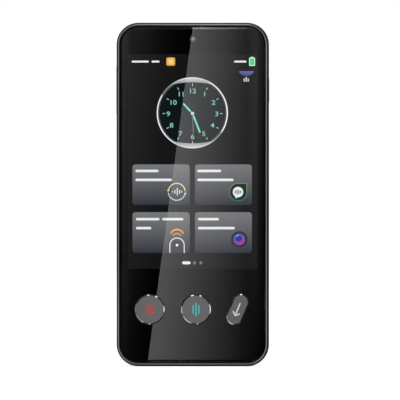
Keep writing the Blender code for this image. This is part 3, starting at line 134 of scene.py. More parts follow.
class TranslatorStage(bpy.types.PropertyGroup):
    """Camera and light"""

    lens: FloatProperty(name="Lens", description="Focal length of the camera", default=268.62, unit="CAMERA")
    distance: length("Distance", 1.2, "From the camera to the glass")
    camera_x: FloatProperty(name="Camera X", description="Sideways place", default=2.90 * MM, unit="LENGTH")
    camera_z: length("Camera Z", 66.9 * MM, "Height of the camera")
    key_power: FloatProperty(name="Key lamp", description="Power of the lamp", default=5.2, unit="POWER")
    fill_power: FloatProperty(name="Fill lamp", description="Power of the lamp", default=2.8, unit="POWER")
    ambient: FloatProperty(name="Ambient", description="Strength of the even light", default=0.62)


# Modelling helpers


def clear_selection():
    if bpy.context.object and bpy.context.object.mode != "OBJECT":
        bpy.ops.object.mode_set(mode="OBJECT")
    bpy.ops.object.select_all(action="DESELECT")


def choose(piece):
    clear_selection()
    piece.select_set(True)
    bpy.context.view_layer.objects.active = piece


@contextmanager
def editing(piece, kind="FACE"):
    """Edit mode on one piece, with nothing selected at the start."""
    choose(piece)
    bpy.ops.object.mode_set(mode="EDIT")
    bpy.ops.mesh.select_mode(type=kind)
    bpy.ops.mesh.select_all(action="DESELECT")
    yield
    bpy.ops.object.mode_set(mode="OBJECT")


def pick(piece, test, kind="faces"):
    """Selects only the faces, edges or vertices that pass a test."""
    bpy.ops.mesh.select_all(action="DESELECT")
    mesh = bmesh.from_edit_mesh(piece.data)
    found = [item for item in getattr(mesh, kind) if test(item)]
    for item in found:
        item.select_set(True)
    if kind == "verts":
        mesh.select_flush(True)
    bmesh.update_edit_mesh(piece.data)
    if not found:
        raise RuntimeError(f"{piece.name}: nothing to shape was found")


# Two levels closer than this are the same
NEAR = 0.002 * MM


def at(axis, level):
    """A test for edges that lie in a plane across an axis."""
    return lambda edge: all(abs(v.co[axis] - level) < NEAR for v in edge.verts)


def along(axis):
    """A test for edges that run along an axis."""
    others = [i for i in range(3) if i != axis]
    return lambda edge: all(abs(edge.verts[0].co[i] - edge.verts[1].co[i]) < NEAR for i in others)


def end_face(axis, level):
    """A test for the many-sided face that closes a piece at a level."""
    return lambda face: len(face.verts) > 8 and all(abs(v.co[axis] - level) < NEAR for v in face.verts)


def named(name):
    piece = bpy.context.object
    piece.name = piece.data.name = name
    return piece


def block(name, x, y, z):
    """A box between two places on each axis."""
    clear_selection()
    spans = (x, y, z)
    bpy.ops.mesh.primitive_cube_add(
        size=1.0, location=[sum(s) / 2 for s in spans], scale=[s[1] - s[0] for s in spans]
    )
    bpy.ops.object.transform_apply(location=True, rotation=True, scale=True)
    return named(name)


def plate(name, x, y, z, corner, steps=6, front=0.0, back=0.0, edge_steps=4):
    """A box with corners rounded as seen from the front, and its front and back edges rounded."""
    piece = block(name, x, y, z)
    with editing(piece, "EDGE"):
        pick(piece, along(1), "edges")
        bpy.ops.mesh.bevel(offset=corner, segments=steps, affect="EDGES")
        for amount, level in ((front, y[0]), (back, y[1])):
            if amount:
                pick(piece, at(1, level), "edges")
                bpy.ops.mesh.bevel(offset=amount, segments=edge_steps, affect="EDGES")
    return piece


def bar(name, radius, start, end, place, facing, steps, stretch=0.0, tilt=0.0, chamfer=0.0, chamfer_steps=1,
        foot=0.0):
    """A round or round-ended solid from start to end along the way it faces."""
    clear_selection()
    bpy.ops.mesh.primitive_cylinder_add(
        vertices=steps, radius=radius, depth=end - start, location=(0, 0, (start + end) / 2),
        rotation=(0, 0, math.pi / steps),
    )
    bpy.ops.object.transform_apply(location=True, rotation=True, scale=True)
    piece = named(name)
    with editing(piece, "VERT"):
        if stretch:
            for side in (1, -1):
                pick(piece, lambda v, side=side: v.co.y * side > 0, "verts")
                bpy.ops.transform.translate(value=(0, side * stretch / 2, 0))
        bpy.ops.mesh.select_mode(type="EDGE")
        for amount, level in ((chamfer, end), (foot, start)):
            if amount:
                pick(piece, at(2, level), "edges")
                bpy.ops.mesh.bevel(offset=amount, segments=chamfer_steps, affect="EDGES")
    put(piece, place, facing @ Matrix.Rotation(tilt, 4, "Z"))
    return piece


def put(piece, place, facing=Matrix.Identity(4)):
    """Turns and moves a piece, and settles its place into its mesh."""
    piece.matrix_world = Matrix.Translation(place) @ facing
    choose(piece)
    bpy.ops.object.transform_apply(location=True, rotation=True, scale=True)
    return piece


def ring(name, outer, inner, start, end, place, facing, steps, **rest):
    """A tube from start to end along the way it faces."""
    piece = bar(name, outer, start, end, *AT_ORIGIN, steps, **rest)
    with editing(piece):
        ends = [end_face(2, start), end_face(2, end)]
        rims = [rest.get("foot", 0.0), rest.get("chamfer", 0.0)]
        for test, rim in zip(ends, rims):
            pick(piece, test)
            bpy.ops.mesh.inset(thickness=outer - inner - rim)
        pick(piece, lambda face: any(test(face) for test in ends))
        bpy.ops.mesh.bridge_edge_loops()
    return put(piece, place, facing)


def apply_all(piece):
    choose(piece)
    for step in list(piece.modifiers):
        bpy.ops.object.modifier_apply(modifier=step.name)


def combine(piece, helpers, operation="DIFFERENCE"):
    """Cuts helpers out of a piece, or joins them on, and removes them."""
    for helper in helpers:
        step = piece.modifiers.new(helper.name, "BOOLEAN")
        step.operation = operation
        step.object = helper
        step.solver = "EXACT"
    apply_all(piece)
    for helper in helpers:
        bpy.data.meshes.remove(helper.data)
    return piece


def merge(name, pieces):
    """Several pieces of one finish as one, side by side."""
    clear_selection()
    for piece in pieces:
        piece.select_set(True)
    bpy.context.view_layer.objects.active = pieces[0]
    if len(pieces) > 1:
        bpy.ops.object.join()
    return named(name)


def lettering(text, size, depth, centre):
    """Flat numbers that face the front, as a closed mesh."""
    clear_selection()
    bpy.ops.object.text_add(location=(0, 0, 0))
    words = bpy.context.object
    words.data.body = text
    words.data.size = size
    words.data.align_x = "CENTER"
    words.data.align_y = "CENTER"
    words.data.offset = 0.035 * MM
    words.data.extrude = (depth[1] - depth[0]) / 2
    words.data.resolution_u = 6
    bpy.ops.object.convert(target="MESH")
    piece = named(f"number_{text}")
    with editing(piece, "VERT"):
        bpy.ops.mesh.select_all(action="SELECT")
        bpy.ops.mesh.remove_doubles(threshold=1e-7)
        bpy.ops.transform.resize(value=(1.18, 1.0, 1.0))
    return put(piece, (centre[0], sum(depth) / 2, centre[1]), FRONT)


def finish(piece, body, surface, replaces=(), angle=32.0, check=True):
    """Closes off a piece: sound mesh, shading, finish, and the body that carries it."""
    with editing(piece):
        bpy.ops.mesh.select_all(action="SELECT")
        bpy.ops.mesh.normals_make_consistent(inside=False)
    if check:
        shape = bmesh.new()
        shape.from_mesh(piece.data)
        loose = sum(len(edge.link_faces) != 2 for edge in shape.edges)
        volume = shape.calc_volume()
        shape.free()
        if loose or volume <= 0:
            raise RuntimeError(f"{piece.name}: {loose} open edges, volume {volume}")
    choose(piece)
    bpy.ops.object.shade_smooth_by_angle(angle=math.radians(angle))
    piece.modifiers.new("flat faces", "WEIGHTED_NORMAL").keep_sharp = True
    apply_all(piece)
    surfaces = surface if isinstance(surface, (list, tuple)) else [surface]
    if len(piece.material_slots) != len(surfaces) or len(surfaces) == 1:
        piece.data.materials.clear()
        for each in surfaces:
            piece.data.materials.append(material(each))
    else:
        for place, each in zip(piece.material_slots, surfaces):
            place.material = material(each)
    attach(piece, body)
    if replaces:
        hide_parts(*replaces)
    return piece


# Finishes


def socket(tree, name, way, kind, value=None):
    made = tree.interface.new_socket(name=name, in_out=way, socket_type=kind)
    if value is not None:
        made.default_value = value
    return made


def new_group(name, inputs, outputs):
    """A shader node group with named sockets."""
    tree = bpy.data.node_groups.new(name, "ShaderNodeTree")
    for label, kind, value in inputs:
        socket(tree, label, "INPUT", kind, value)
    for label, kind in outputs:
        socket(tree, label, "OUTPUT", kind)
    start = tree.nodes.new("NodeGroupInput")
    end = tree.nodes.new("NodeGroupOutput")
    return tree, start, end


def node(tree, kind, values=(), **settings):
    """A node with its settings and the values of its inputs."""
    made = tree.nodes.new(kind)
    for key, value in settings.items():
        setattr(made, key, value)
    for key, value in dict(values).items():
        made.inputs[key].default_value = value
    return made


def math_node(tree, operation, first, second=None, third=None, clamp=False):
    made = node(tree, "ShaderNodeMath", operation=operation, use_clamp=clamp)
    for place, value in enumerate((first, second, third)):
        if value is None:
            continue
        if isinstance(value, (int, float)):
            made.inputs[place].default_value = value
        else:
            tree.links.new(value, made.inputs[place])
    return made.outputs[0]


FLOAT = "NodeSocketFloat"
COLOUR = "NodeSocketColor"
VECTOR = "NodeSocketVector"
GREY = (0.5, 0.5, 0.5, 1.0)


def shaded(tree, colour_socket, factor_socket):
    """The colour with its brightness scaled."""
    shade = node(tree, "ShaderNodeHueSaturation")
    tree.links.new(colour_socket, shade.inputs["Color"])
    tree.links.new(factor_socket, shade.inputs["Value"])
    return shade.outputs["Color"]


def spread_about(tree, middle, pattern, spread):
    """middle + (pattern - 0.5) * 2 * spread."""
    swing = math_node(tree, "MULTIPLY_ADD", pattern, 2.0, -1.0)
    return math_node(tree, "MULTIPLY_ADD", swing, spread, middle)


def blend(tree, factor, low, high):
    """One colour that turns into another."""
    mix = node(tree, "ShaderNodeMix", data_type="RGBA")
    for place, value in zip((0, 6, 7), (factor, low, high)):
        tree.links.new(value, mix.inputs[place])
    return mix.outputs[2]


def make_grain():
    """Uneven tone in wide patches, and a fine moulded or blasted grain."""
    tree, start, end = new_group(
        "surface_grain",
        [("Color", COLOUR, GREY), ("Variation", FLOAT, 0.1), ("Patch Scale", FLOAT, 120.0),
         ("Grain Scale", FLOAT, 4000.0), ("Roughness", FLOAT, 0.5), ("Spread", FLOAT, 0.05)],
        [("Color", COLOUR), ("Roughness", FLOAT), ("Height", FLOAT)],
    )
    where = node(tree, "ShaderNodeTexCoord").outputs["Object"]
    patches = node(tree, "ShaderNodeTexNoise", {"Detail": 4.0, "Roughness": 0.6})
    grain = node(tree, "ShaderNodeTexNoise", {"Detail": 2.0, "Roughness": 0.5})
    for pattern, scale in ((patches, "Patch Scale"), (grain, "Grain Scale")):
        tree.links.new(where, pattern.inputs["Vector"])
        tree.links.new(start.outputs[scale], pattern.inputs["Scale"])
    wide = math_node(tree, "MULTIPLY", patches.outputs["Fac"], 0.65)
    mixed = math_node(tree, "MULTIPLY_ADD", grain.outputs["Fac"], 0.35, wide)
    factor = spread_about(tree, 1.0, mixed, start.outputs["Variation"])
    tree.links.new(shaded(tree, start.outputs["Color"], factor), end.inputs["Color"])
    rough = spread_about(tree, start.outputs["Roughness"], patches.outputs["Fac"], start.outputs["Spread"])
    tree.links.new(rough, end.inputs["Roughness"])
    tree.links.new(grain.outputs["Fac"], end.inputs["Height"])


def make_brushed():
    """Fine lines that run one way, as rolled or brushed metal has."""
    tree, start, end = new_group(
        "brushed_lines",
        [("Color", COLOUR, GREY), ("Variation", FLOAT, 0.1), ("Stretch", VECTOR, (40.0, 6000.0, 6000.0)),
         ("Roughness", FLOAT, 0.4), ("Spread", FLOAT, 0.08)],
        [("Color", COLOUR), ("Roughness", FLOAT), ("Height", FLOAT)],
    )
    where = node(tree, "ShaderNodeTexCoord").outputs["Object"]
    scaled = node(tree, "ShaderNodeVectorMath", operation="MULTIPLY")
    tree.links.new(where, scaled.inputs[0])
    tree.links.new(start.outputs["Stretch"], scaled.inputs[1])
    lines = node(tree, "ShaderNodeTexNoise", {"Scale": 1.0, "Detail": 3.0, "Roughness": 0.65})
    tree.links.new(scaled.outputs[0], lines.inputs["Vector"])
    factor = spread_about(tree, 1.0, lines.outputs["Fac"], start.outputs["Variation"])
    tree.links.new(shaded(tree, start.outputs["Color"], factor), end.inputs["Color"])
    rough = spread_about(tree, start.outputs["Roughness"], lines.outputs["Fac"], start.outputs["Spread"])
    tree.links.new(rough, end.inputs["Roughness"])
    tree.links.new(lines.outputs["Fac"], end.inputs["Height"])


SIDES = ("Right", "Up", "Left", "Down")
# Painted light and shade: shares of the rim's colour, and tones of the edge outside it, on the faces that
# look each way
RIM_PAINTED_LIGHT = {"rim_outside": (0.15, 0.46, 1.15, 0.50), "rim_inside": (0.08, 0.62, 1.15, 0.24)}
DARK_EDGE_PAINTED_TONES = (0.026, 0.003, 0.006, 0.003)


def make_sheen():
    """Painted light and shade on an edge: its own tone on the faces that look each way, lighter or darker as
    light falls on that side.
    """
    tree, start, end = new_group(
        "edge_sheen",
        [(side, COLOUR, GREY) for side in SIDES],
        [("Color", COLOUR), ("Roughness", FLOAT), ("Height", FLOAT)],
    )
    where = node(tree, "ShaderNodeTexCoord")
    flat = node(tree, "ShaderNodeVectorMath", {1: (1.0, 0.0, 1.0)}, operation="MULTIPLY")
    tree.links.new(where.outputs["Normal"], flat.inputs[0])
    level = node(tree, "ShaderNodeVectorMath", operation="NORMALIZE")
    tree.links.new(flat.outputs[0], level.inputs[0])
    parts = node(tree, "ShaderNodeSeparateXYZ")
    tree.links.new(level.outputs[0], parts.inputs[0])
    total = None
    for side, axis, sign in zip(SIDES, "XZXZ", (1, 1, -1, -1)):
        facing = math_node(tree, "MULTIPLY", parts.outputs[axis], sign, clamp=True)
        share = math_node(tree, "MULTIPLY", facing, facing)
        part = node(tree, "ShaderNodeVectorMath", operation="MULTIPLY_ADD")
        tree.links.new(start.outputs[side], part.inputs[0])
        tree.links.new(share, part.inputs[1])
        if total:
            tree.links.new(total, part.inputs[2])
        total = part.outputs[0]
    lines = node(tree, "ShaderNodeTexNoise", {"Scale": 5000.0, "Detail": 2.0})
    tree.links.new(where.outputs["Object"], lines.inputs["Vector"])
    tone = shaded(tree, total, spread_about(tree, 1.0, lines.outputs["Fac"], 0.12))
    tree.links.new(tone, end.inputs["Color"])
    tree.links.new(spread_about(tree, 0.30, lines.outputs["Fac"], 0.08), end.inputs["Roughness"])
    tree.links.new(lines.outputs["Fac"], end.inputs["Height"])


def make_weave():
    """Crossed threads seen square on, for cloth over the loudspeaker and soldered meshes."""
    tree, start, end = new_group(
        "woven_threads",
        [("Color", COLOUR, GREY), ("Gap Color", COLOUR, (0, 0, 0, 1)), ("Scale", FLOAT, 600.0),
         ("Roughness", FLOAT, 0.8)],
        [("Color", COLOUR), ("Roughness", FLOAT), ("Height", FLOAT)],
    )
    where = node(tree, "ShaderNodeTexCoord").outputs["Object"]
    threads = []
    for direction in ("X", "Z"):
        wave = node(tree, "ShaderNodeTexWave", {"Distortion": 0.0}, bands_direction=direction)
        tree.links.new(where, wave.inputs["Vector"])
        tree.links.new(start.outputs["Scale"], wave.inputs["Scale"])
        threads.append(wave.outputs["Fac"])
    height = math_node(tree, "MAXIMUM", *threads)
    cloth = blend(tree, height, start.outputs["Gap Color"], start.outputs["Color"])
    tree.links.new(cloth, end.inputs["Color"])
    tree.links.new(spread_about(tree, start.outputs["Roughness"], height, 0.1), end.inputs["Roughness"])
    tree.links.new(height, end.inputs["Height"])


def make_tracks():
    """A circuit board's lacquer with the copper tracks that show through it."""
    tree, start, end = new_group(
        "board_tracks",
        [("Lacquer", COLOUR, GREY), ("Track", COLOUR, GREY), ("Scale", FLOAT, 900.0)],
        [("Color", COLOUR), ("Roughness", FLOAT), ("Height", FLOAT)],
    )
    where = node(tree, "ShaderNodeTexCoord").outputs["Object"]
    cells = node(tree, "ShaderNodeTexVoronoi", {"Randomness": 0.85}, distance="MANHATTAN")
    bricks = node(tree, "ShaderNodeTexBrick", {"Mortar Size": 0.06, "Color1": (1, 1, 1, 1),
                                               "Color2": (1, 1, 1, 1), "Mortar": (0, 0, 0, 1)})
    turned = node(tree, "ShaderNodeMapping", {"Rotation": (QUARTER, 0.0, 0.0)})
    tree.links.new(where, turned.inputs["Vector"])
    for pattern in (cells, bricks):
        tree.links.new(turned.outputs[0], pattern.inputs["Vector"])
        tree.links.new(start.outputs["Scale"], pattern.inputs["Scale"])
    pads = math_node(tree, "LESS_THAN", cells.outputs["Distance"], 0.22)
    mask = math_node(tree, "MAXIMUM", pads, bricks.outputs["Fac"], clamp=True)
    printed = blend(tree, mask, start.outputs["Lacquer"], start.outputs["Track"])
    tree.links.new(printed, end.inputs["Color"])
    tree.links.new(math_node(tree, "MULTIPLY_ADD", mask, -0.12, 0.42), end.inputs["Roughness"])
    tree.links.new(mask, end.inputs["Height"])


# Painted highlights round a key's cut edge, and light round the dial's rim on the screen: share of the turn,
# and level
KEY_GLINT_STOPS = ((0.0, 1), (0.046, 1), (0.054, 0), (0.167, 0), (0.172, 1), (0.198, 1), (0.203, 0), (0.264, 0),
             (0.269, 1), (0.295, 1), (0.300, 0), (0.450, 0), (0.462, 0.8), (0.530, 0.8), (0.540, 0.2),
             (0.560, 0.2), (0.570, 0.8), (0.680, 0.8), (0.690, 0), (0.745, 0), (0.750, 0.8), (0.765, 0.8),
             (0.770, 0), (0.930, 0), (0.940, 1))
RIM_STOPS = ((0.0, 1.0), (0.165, 0.90), (0.180, 0.60), (0.25, 0.80), (0.30, 0.75), (0.36, 0.30),
             (0.410, 0.22), (0.420, 0.85), (0.56, 1.0), (0.665, 0.85), (0.68, 0.60), (0.75, 0.80),
             (0.83, 0.65), (0.875, 0.28), (0.902, 0.28), (0.912, 0.95))


def round_ramp(tree, centre, turn, stops):
    """A level that changes with the way round a centre."""
    where = node(tree, "ShaderNodeTexCoord").outputs["Object"]
    out = node(tree, "ShaderNodeVectorMath", operation="SUBTRACT")
    tree.links.new(where, out.inputs[0])
    tree.links.new(centre, out.inputs[1])
    parts = node(tree, "ShaderNodeSeparateXYZ")
    tree.links.new(out.outputs[0], parts.inputs[0])
    angle = math_node(tree, "ARCTAN2", parts.outputs["Z"], parts.outputs["X"])
    share = math_node(tree, "FRACT", math_node(tree, "MULTIPLY_ADD", angle, 1 / math.tau, turn))
    ramp = node(tree, "ShaderNodeValToRGB")
    marks = ramp.color_ramp.elements
    while len(marks) < len(stops):
        marks.new(HALF)
    for mark, (place, level) in zip(marks, stops):
        mark.position = place
        mark.color = (level, level, level, 1.0)
    tree.links.new(share, ramp.inputs[0])
    return ramp.outputs[0]


def make_arcs():
    """A cut edge with painted highlights: colour bright in arcs round a centre, where reflections fall, and
    dull between them; the arcs are also less rough.
    """
    tree, start, end = new_group(
        "polished_arcs",
        [("Centre", VECTOR, (0.0, 0.0, 0.0)), ("Turn", FLOAT, 0.0), ("Bright", COLOUR, GREY),
         ("Dull", COLOUR, GREY)],
        [("Color", COLOUR), ("Roughness", FLOAT), ("Height", FLOAT)],
    )
    polish = round_ramp(tree, start.outputs["Centre"], start.outputs["Turn"], KEY_GLINT_STOPS)
    tone = blend(tree, polish, start.outputs["Dull"], start.outputs["Bright"])
    tree.links.new(tone, end.inputs["Color"])
    tree.links.new(math_node(tree, "MULTIPLY_ADD", polish, -0.25, 0.40), end.inputs["Roughness"])
    tree.links.new(polish, end.inputs["Height"])


def make_rim_light():
    """The light of the dial's rim, which shines more in some places round it."""
    tree, start, end = new_group(
        "rim_shine",
        [("Centre", VECTOR, (0.0, 0.0, 0.0)), ("Turn", FLOAT, 0.0), ("Upper", COLOUR, GREY)],
        [("Color", COLOUR)],
    )
    shine = round_ramp(tree, start.outputs["Centre"], start.outputs["Turn"], RIM_STOPS)
    tree.links.new(shaded(tree, start.outputs["Upper"], shine), end.inputs["Color"])


def make_screen_light():
    """The light of a screen: a colour that fades down the piece, with the panel's fine rows."""
    tree, start, end = new_group(
        "screen_light",
        [("Upper", COLOUR, GREY), ("Lower", COLOUR, GREY), ("Fade", FLOAT, 0.5), ("Rows", FLOAT, 0.03)],
        [("Color", COLOUR)],
    )
    where = node(tree, "ShaderNodeTexCoord").outputs["Object"]
    rows = node(tree, "ShaderNodeTexWave", {"Scale": 3900.0, "Distortion": 0.0}, bands_direction="Z")
    cloudy = node(tree, "ShaderNodeTexNoise", {"Scale": 60.0, "Detail": 1.0})
    for pattern in (rows, cloudy):
        tree.links.new(where, pattern.inputs["Vector"])
    faded = blend(tree, start.outputs["Fade"], start.outputs["Lower"], start.outputs["Upper"])
    clouds = math_node(tree, "MULTIPLY", cloudy.outputs["Fac"], HALF)
    both = math_node(tree, "MULTIPLY_ADD", rows.outputs["Fac"], HALF, clouds)
    factor = spread_about(tree, 1.0, both, start.outputs["Rows"])
    tree.links.new(shaded(tree, faded, factor), end.inputs["Color"])


def opaque(rgb):
    return (*rgb, 1.0)


def surface(name, group, inputs, bump=0.0, **sockets):
    """A Principled material fed by one of the groups. sockets are even all over the surface."""
    made = bpy.data.materials.new(name)
    made.use_nodes = True
    tree = made.node_tree
    shader = tree.nodes["Principled BSDF"]
    detail = tree.nodes.new("ShaderNodeGroup")
    detail.node_tree = bpy.data.node_groups[group]
    for key, value in inputs.items():
        detail.inputs[key].default_value = value
    tree.links.new(detail.outputs["Color"], shader.inputs["Base Color"])
    tree.links.new(detail.outputs["Roughness"], shader.inputs["Roughness"])
    if bump:
        relief = node(tree, "ShaderNodeBump", {"Strength": 1.0, "Distance": bump})
        tree.links.new(detail.outputs["Height"], relief.inputs["Height"])
        tree.links.new(relief.outputs["Normal"], shader.inputs["Normal"])
    for key, value in sockets.items():
        shader.inputs[key.replace("_", " ")].default_value = value
    return made


def grained(name, rgb, roughness, variation=0.10, patch=110.0, grain=5000.0, spread=0.05, bump=0.0,
            **sockets):
    """Moulded, printed or blasted stuff, as surface_grain makes it."""
    values = {"Color": opaque(rgb), "Variation": variation, "Patch Scale": patch, "Grain Scale": grain,
              "Roughness": roughness, "Spread": spread}
    return surface(name, "surface_grain", values, bump, **sockets)


def brushed(name, rgb, roughness, stretch, variation=0.10, spread=0.08, bump=0.0, **sockets):
    """Rolled or turned metal and film, as brushed_lines makes it."""
    values = {"Color": opaque(rgb), "Variation": variation, "Stretch": stretch, "Roughness": roughness,
              "Spread": spread}
    return surface(name, "brushed_lines", values, bump, **sockets)


def lit(name, upper, lower=None, fade=None, group="screen_light"):
    """A piece of the lit picture: black glass that gives its own light."""
    made = bpy.data.materials.new(name)
    made.use_nodes = True
    tree = made.node_tree
    shader = tree.nodes["Principled BSDF"]
    shader.inputs["Base Color"].default_value = (0.0, 0.0, 0.0, 1.0)
    shader.inputs["Roughness"].default_value = 0.6
    shader.inputs["Specular IOR Level"].default_value = 0.0
    shader.inputs["Emission Strength"].default_value = 1.0
    light = tree.nodes.new("ShaderNodeGroup")
    light.node_tree = bpy.data.node_groups[group]
    light.inputs["Upper"].default_value = opaque(upper)
    if group == "rim_shine":
        light.inputs["Centre"].default_value = (RIM_AT[0], 0.0, RIM_AT[1])
    else:
        light.inputs["Lower"].default_value = opaque(lower or upper)
    if fade:
        low, high, slant = fade
        where = node(tree, "ShaderNodeTexCoord")
        parts = node(tree, "ShaderNodeSeparateXYZ")
        tree.links.new(where.outputs["Object"], parts.inputs[0])
        level = math_node(tree, "MULTIPLY_ADD", parts.outputs["X"], slant, parts.outputs["Z"])
        span = node(tree, "ShaderNodeMapRange", {"From Min": low, "From Max": high})
        tree.links.new(level, span.inputs["Value"])
        tree.links.new(span.outputs[0], light.inputs["Fade"])
    tree.links.new(light.outputs["Color"], shader.inputs["Emission Color"])
    return made


def make_finishes():
    """Every finish of the part, by the names that the pieces ask for."""
    paint = bpy.context.scene.translator_colours
    for build in (make_grain, make_brushed, make_sheen, make_arcs, make_weave, make_tracks, make_screen_light,
                  make_rim_light):
        build()
    # Body
    grained("anodised_band", paint.band, 0.34, grain=7000.0, spread=0.06, bump=0.004 * MM, Metallic=1.0,
            Specular_Tint=(0.3, 0.3, 0.3, 1.0))
    # Painted light and shade: the rim's colour is made lighter or darker on the faces that look each way
    for name, shares in RIM_PAINTED_LIGHT.items():
        tones = {side: opaque(c * share for c in paint.rim) for side, share in zip(SIDES, shares)}
        surface(name, "edge_sheen", tones, Metallic=0.45)
    brushed("key_metal", paint.band, 0.30, (5000.0, 5000.0, 50.0), Metallic=1.0)
    grained("black_print", paint.print, 0.55, variation=0.25, Specular_IOR_Level=0.05)
    # The dark metal edge outside the rim, with a painted tone of light and shade for each way it faces
    tones = {side: opaque((tone,) * 3) for side, tone in zip(SIDES, DARK_EDGE_PAINTED_TONES)}
    surface("dark_edge", "edge_sheen", tones, Metallic=1.0, Specular_Tint=(0.06, 0.06, 0.06, 1.0))
    # The glass's rounded edge is black and barely glossy: painted darkness where that edge shows a dark
    # reflection
    grained("edge_print", (0.0012, 0.0012, 0.0012), 0.35, variation=0.3, Specular_IOR_Level=0.06)
    grained("inner_black", (0.004, 0.004, 0.004), 0.6, variation=0.3, Specular_IOR_Level=0.15)
    grained("clear_glass", (0.96, 0.98, 0.97), 0.0, variation=0.02, patch=40.0, spread=0.0,
            Transmission_Weight=1.0, IOR=1.5)
    grained("cap_satin", paint.cap, 0.42, variation=0.12, grain=9000.0, bump=0.006 * MM, Metallic=0.35)
    # Painted highlights: bright arcs of colour round each key's cut rim
    for key, turn in zip(FRONT_KEYS, (0.010, -0.010, -0.020)):
        surface(f"{key}_rim", "polished_arcs", {"Centre": box_centre(f"{key}_key"), "Turn": turn,
                                                "Bright": opaque((0.90, 0.90, 0.90)),
                                                "Dull": opaque((0.030, 0.030, 0.030))}, Metallic=1.0)
    grained("left_mark_print", paint.left_mark, 0.4, variation=0.2, grain=6000.0)
    grained("right_mark_print", paint.right_mark, 0.4, variation=0.2, grain=6000.0)
    grained("white_print", (0.80, 0.80, 0.80), 0.4, variation=0.06)
    grained("soft_cover", paint.cover, 0.52, variation=0.14, patch=70.0, grain=5200.0, bump=0.012 * MM)
    grained("black_plastic", (0.018, 0.018, 0.019), 0.50, grain=3500.0, bump=0.008 * MM)
    # Cameras and flash
    brushed("ring_metal", (0.16, 0.162, 0.168), 0.22, (3000.0, 3000.0, 3000.0), Metallic=1.0)
    grained("lens_black", (0.008, 0.008, 0.009), 0.35, grain=9000.0, bump=0.003 * MM)
    grained("lens_coating", (0.050, 0.054, 0.120), 0.06, variation=0.5, patch=260.0, spread=0.02,
            Coat_Weight=1.0, Coat_Roughness=0.02)
    # The front lens's glow is painted light: a painted reflection of its coloured coating
    grained("front_coating", (0.050, 0.052, 0.078), 0.06, variation=0.5, patch=260.0, spread=0.02,
            Coat_Weight=1.0, Coat_Roughness=0.02, Emission_Color=(0.100, 0.101, 0.110, 1.0),
            Emission_Strength=0.7)
    # A brighter colour and a glow on a small dome of the front lens: a painted highlight
    grained("lens_core", (0.24, 0.26, 0.42), 0.10, variation=0.3, patch=900.0, Coat_Weight=1.0,
            Emission_Color=(0.22, 0.23, 0.27, 1.0), Emission_Strength=0.8)
    grained("flash_lens", (0.78, 0.72, 0.50), 0.28, variation=0.08, grain=2500.0, bump=0.004 * MM)
    # Inside
    brushed("rolled_plate", (0.33, 0.335, 0.345), 0.42, (4000.0, 4000.0, 90.0), bump=0.002 * MM, Metallic=1.0)
    brushed("pressed_steel", (0.52, 0.525, 0.53), 0.30, (70.0, 5000.0, 5000.0), bump=0.002 * MM, Metallic=1.0)
    brushed("screw_steel", (0.40, 0.40, 0.41), 0.28, (2500.0, 2500.0, 2500.0), Metallic=1.0)
    brushed("dome_steel", (0.62, 0.61, 0.59), 0.22, (1500.0, 1500.0, 1500.0), Metallic=1.0)
    brushed("gold_contact", (0.83, 0.58, 0.22), 0.25, (2000.0, 2000.0, 2000.0), Metallic=1.0)
    surface("green_board", "board_tracks", {"Lacquer": opaque((0.006, 0.052, 0.030)),
                                            "Track": opaque((0.020, 0.110, 0.060)), "Scale": 420.0},
            bump=0.01 * MM)
    surface("speaker_weave", "woven_threads", {"Color": opaque((0.030, 0.030, 0.032)),
                                               "Gap Color": opaque((0.002, 0.002, 0.002)),
                                               "Scale": 1100.0, "Roughness": 0.8}, bump=0.05 * MM)
    grained("chip_resin", (0.022, 0.022, 0.024), 0.48, grain=3000.0, bump=0.006 * MM)
    grained("panel_glass", (0.012, 0.012, 0.014), 0.16, variation=0.15)
    brushed("light_foil", (0.56, 0.57, 0.58), 0.34, (60.0, 3000.0, 3000.0), Metallic=0.8)
    grained("battery_pouch", (0.26, 0.262, 0.268), 0.38, variation=0.08, grain=900.0, bump=0.03 * MM,
            Metallic=0.5)
    brushed("flex_film", (0.33, 0.12, 0.02), 0.38, (1800.0, 60.0, 60.0), variation=0.25)
    grained("antenna_ceramic", (0.70, 0.66, 0.48), 0.45, grain=2500.0)
    grained("foam_rubber", (0.024, 0.024, 0.024), 0.9, variation=0.3, grain=2200.0, bump=0.08 * MM)
    # The picture on the screen
    lit("screen_ground", paint.screen)
    lit("dial_face", (0.0055, 0.0092, 0.0112))
    lit("number_light", paint.numbers)
    lit("hand_light", paint.hands)
    lit("rim_light", (0.98, 0.99, 1.0), group="rim_shine")
    lit("rim_glow", (0.085, 0.090, 0.092))
    lit("tick_light", (0.70, 0.71, 0.71))
    glow = ((0.58, 0.585, 0.60), (0.020, 0.022, 0.024))
    lit("dial_glow_top", *glow, (RIM_AT[1] + 9.8 * MM, RIM_AT[1] + 13.6 * MM, 0.0))
    lit("dial_glow_bottom", *glow, (RIM_AT[1] - 9.8 * MM, RIM_AT[1] - 13.6 * MM, 0.0))
    for i, (low, high) in enumerate((TILES[0][2:], TILES[2][2:]), 1):
        lit(f"tile_light_{i}", paint.tile_top, paint.tile_bottom, (low * MM, high * MM, 0.0))
    lit("white_light", (0.90, 0.91, 0.92))
    lit("grey_light", (0.20, 0.19, 0.20))
    lit("second_light", (0.34, 0.26, 0.28))
    lit("dim_light", (0.045, 0.045, 0.050))
    lit("orange_light", (0.78, 0.34, 0.035))
    lit("amber_light", (0.93, 0.60, 0.13))
    lit("pale_orange_light", (0.95, 0.78, 0.42))
    lit("pale_teal_light", (0.50, 0.78, 0.72))
    lit("green_light", (0.040, 0.80, 0.22))
    lit("violet_light", (0.15, 0.15, 0.42), (0.050, 0.045, 0.20), (116.6 * MM, 118.4 * MM, 0.0))
    lit("dark_violet_light", (0.030, 0.030, 0.055))
    lit("leaf_light", (0.22, 0.34, 0.10), (0.030, 0.22, 0.15), (66.5 * MM, 73.5 * MM, 0.0))
    lit("dark_leaf_light", (0.010, 0.028, 0.020))
